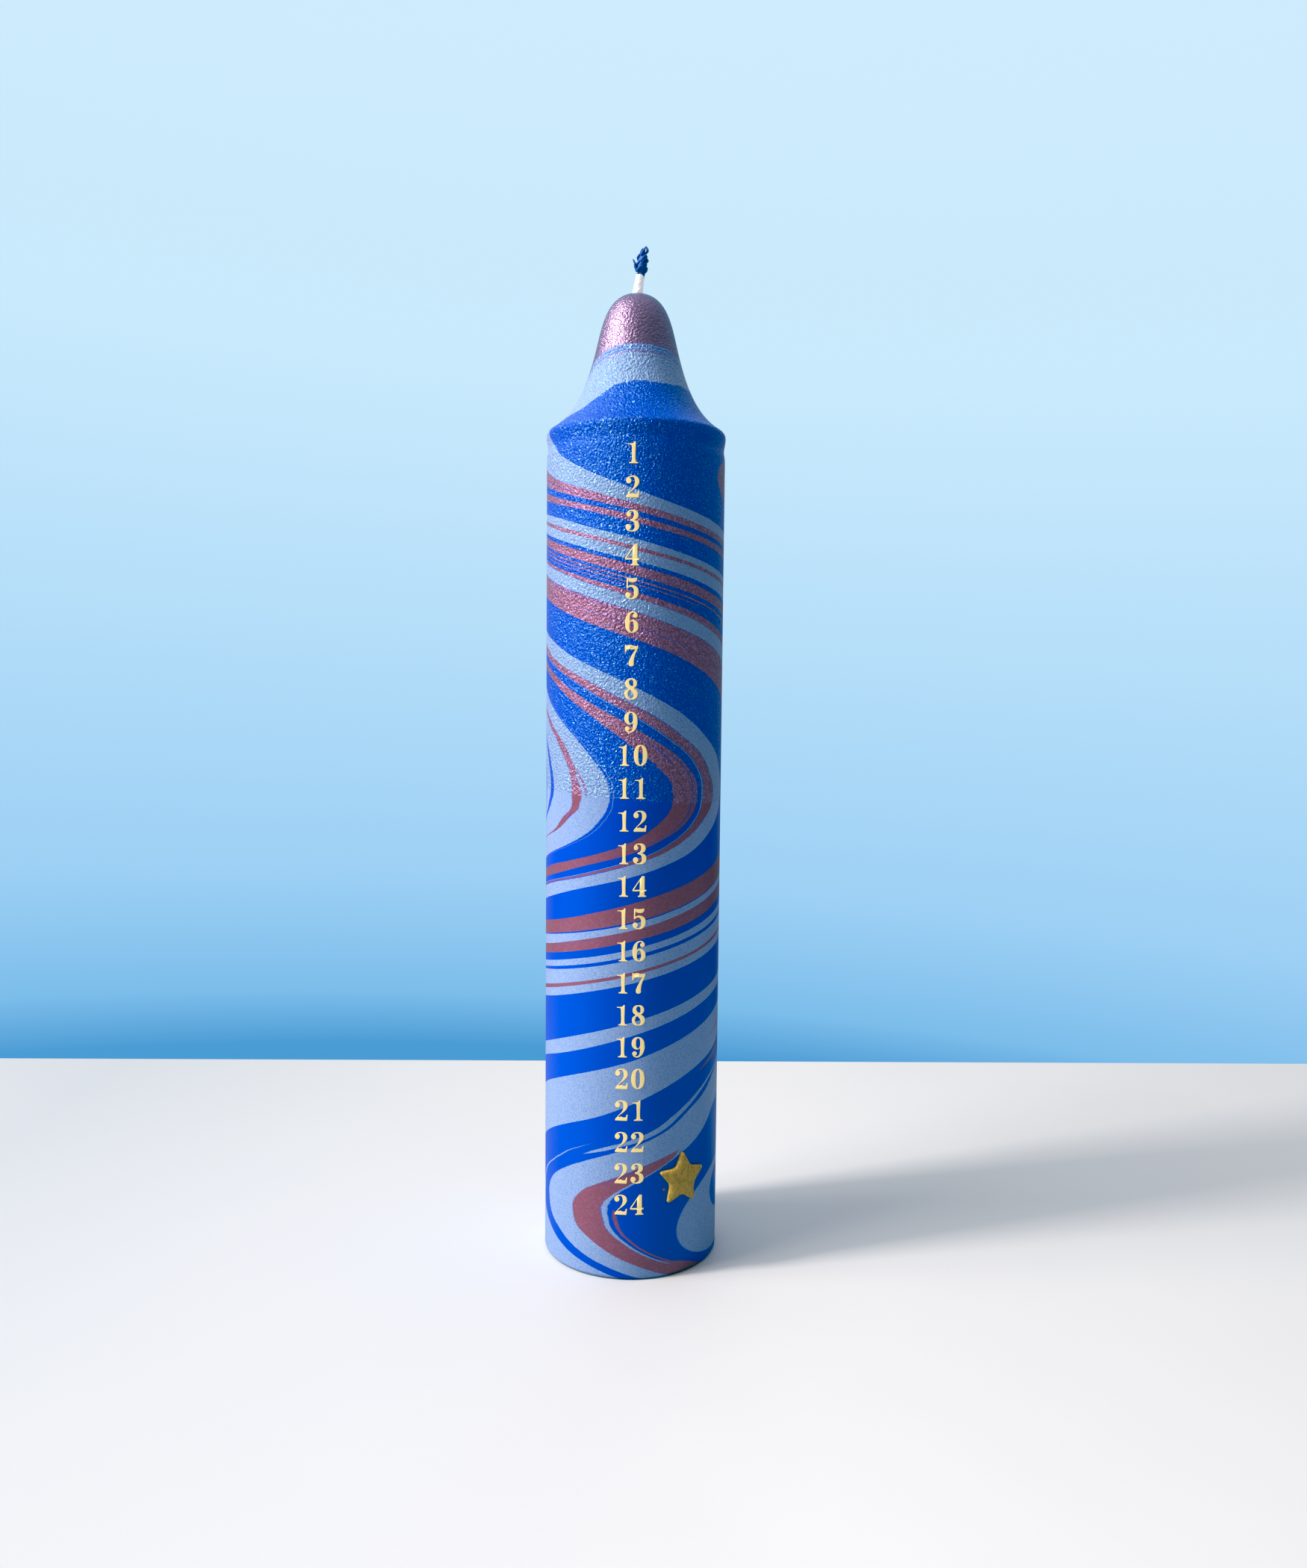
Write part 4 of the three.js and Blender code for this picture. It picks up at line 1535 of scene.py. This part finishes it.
@dataclass
class Lamp:
    """A soft rectangular lamp that points at the candle's middle.

    Args:
        name: Its name.
        place: Where it stands.
        size: Its width and height.
        power: Watts.
        colour: Its colour.
        target: What it points at.
    """

    name: str
    place: tuple[float, float, float]
    size: Pair
    power: float
    colour: Colour
    target: tuple[float, float, float] = (0.0, 0.0, 140.0)

    def build(self) -> None:
        """Make the lamp."""
        light = bpy.data.lights.new(self.name, "AREA")
        light.shape = "RECTANGLE"
        light.size, light.size_y = (side * METRES for side in self.size)
        light.energy = self.power
        light.color = self.colour
        lamp = bpy.data.objects.new(self.name, light)
        lamp.location = Vector(self.place) * METRES
        lamp.rotation_euler = (Vector(self.target) - Vector(self.place)).to_track_quat("-Z", "Y").to_euler()
        bpy.context.scene.collection.objects.link(lamp)


@dataclass
class Studio:
    """The camera, the lamps, the pale surroundings and the table."""

    camera_place: tuple[float, float, float] = (0.0, -349.417, 162.362)
    pitch: float = 0.0769927
    yaw: float = 0.0164062
    roll: float = 0.00917
    lens: float = 27.98
    table_back: float = 177.0
    table_size: Pair = (3000.0, 2500.0)
    backdrop: tuple[tuple[float, Colour], ...] = (
        (0.0, (0.10, 0.31, 0.61)),
        (0.355, (0.10, 0.33, 0.66)),
        (0.375, (0.23, 0.51, 0.83)),
        (0.42, (0.36, 0.63, 0.91)),
        (0.52, (0.48, 0.73, 0.95)),
        (0.62, (0.60, 0.82, 0.98)),
        (1.0, (0.69, 0.86, 0.98)),
    )
    dim_light: Colour = (0.12, 0.085, 0.125)
    soft_light: Colour = (0.74, 0.85, 0.95)
    black_level: Colour = (0.035, 0.0, 0.0)
    lamps: tuple[Lamp, ...] = (
        Lamp("window_lamp", (-1060, -344, 1143), (740, 740), 13.4, (1.0, 0.95, 0.90)),
        Lamp("spark_lamp", (-1166, -334, 1022), (190, 190), 14.0, (1.0, 0.98, 0.95)),
    )
    finish: Finish = field(default_factory=PaintedTable)

    def camera(self) -> None:
        """Set up the camera at the photograph's viewing angle."""
        across = Vector((math.cos(self.yaw), -math.sin(self.yaw), 0))
        ahead = Vector((
            math.sin(self.yaw) * math.cos(self.pitch), math.cos(self.yaw) * math.cos(self.pitch),
            -math.sin(self.pitch),
        ))
        up = across.cross(ahead)
        right = across * math.cos(self.roll) + up * math.sin(self.roll)
        above = up * math.cos(self.roll) - across * math.sin(self.roll)
        data = bpy.data.cameras.new("camera")
        data.sensor_fit = "VERTICAL"
        data.sensor_height = data.sensor_width = 36.0
        data.lens = self.lens
        data.clip_start = 0.01
        data.clip_end = 50.0
        camera = bpy.data.objects.new("camera", data)
        turn = Matrix((right, above, -ahead)).transposed()
        camera.matrix_world = Matrix.Translation(Vector(self.camera_place) * METRES) @ turn.to_4x4()
        bpy.context.scene.collection.objects.link(camera)
        bpy.context.scene.camera = camera

    def surroundings(self) -> None:
        """Set up the pale blue light from all round and the colour transform."""
        world = bpy.data.worlds.new("studio")
        world.use_nodes = True
        graph = NodeGraph(world.node_tree)
        output = graph.node("ShaderNodeOutputWorld")
        x, y, z = graph.split(graph.node("ShaderNodeTexCoord").outputs["Generated"])
        rise = graph.math("MULTIPLY_ADD", z, 0.5, graph.math("MULTIPLY_ADD", x, 0.03, 0.5))
        seen = graph.ramp(rise, self.backdrop)
        sideways = graph.math("MULTIPLY_ADD", x, -0.2, graph.math("MULTIPLY", y, 0.4))
        lit = graph.math("MULTIPLY_ADD", z, 0.7, sideways, clamp=True)
        light = graph.blend(lit, self.dim_light, self.soft_light)
        from_camera = graph.node("ShaderNodeLightPath").outputs["Is Camera Ray"]
        background = graph.node("ShaderNodeBackground")
        graph.feed(background.inputs["Color"], graph.blend(from_camera, light, seen))
        graph.feed(output.inputs["Surface"], background.outputs[0])
        bpy.context.scene.world = world
        view = bpy.context.scene.view_settings
        view.view_transform = "Standard"
        view.use_curve_mapping = True
        view.curve_mapping.black_level = self.black_level

    def table(self) -> None:
        """Make the table, which ends a little behind the candle."""
        mesh = bmesh.new()
        width, depth = self.table_size
        board = Matrix.Translation((0, self.table_back - depth / 2, -15)) @ Matrix.Diagonal((width, depth, 30, 1))
        bmesh.ops.create_cube(mesh, size=1.0, matrix=board)
        bmesh.ops.bevel(
            mesh, geom=mesh.edges[:], offset=3.0, offset_type="OFFSET", affect="EDGES", segments=4,
            profile=0.5, material=-1,
        )
        table = Modelling.finish(mesh, "table")
        self.finish.dress(table)

    def build(self) -> None:
        """Set up the whole studio."""
        self.camera()
        self.surroundings()
        for lamp in self.lamps:
            lamp.build()
        self.table()
        LOG.info("studio: camera, %d lamps and table", len(self.lamps))


def main() -> None:
    """Build the studio and every piece of the candle."""
    logging.basicConfig(level=logging.INFO, format="%(message)s")
    for assembly in (Studio(), WaxBody(), TransferFilm(), DayNumbers(), Star(), Wick()):
        assembly.build()


if __name__ == "__main__":
    main()
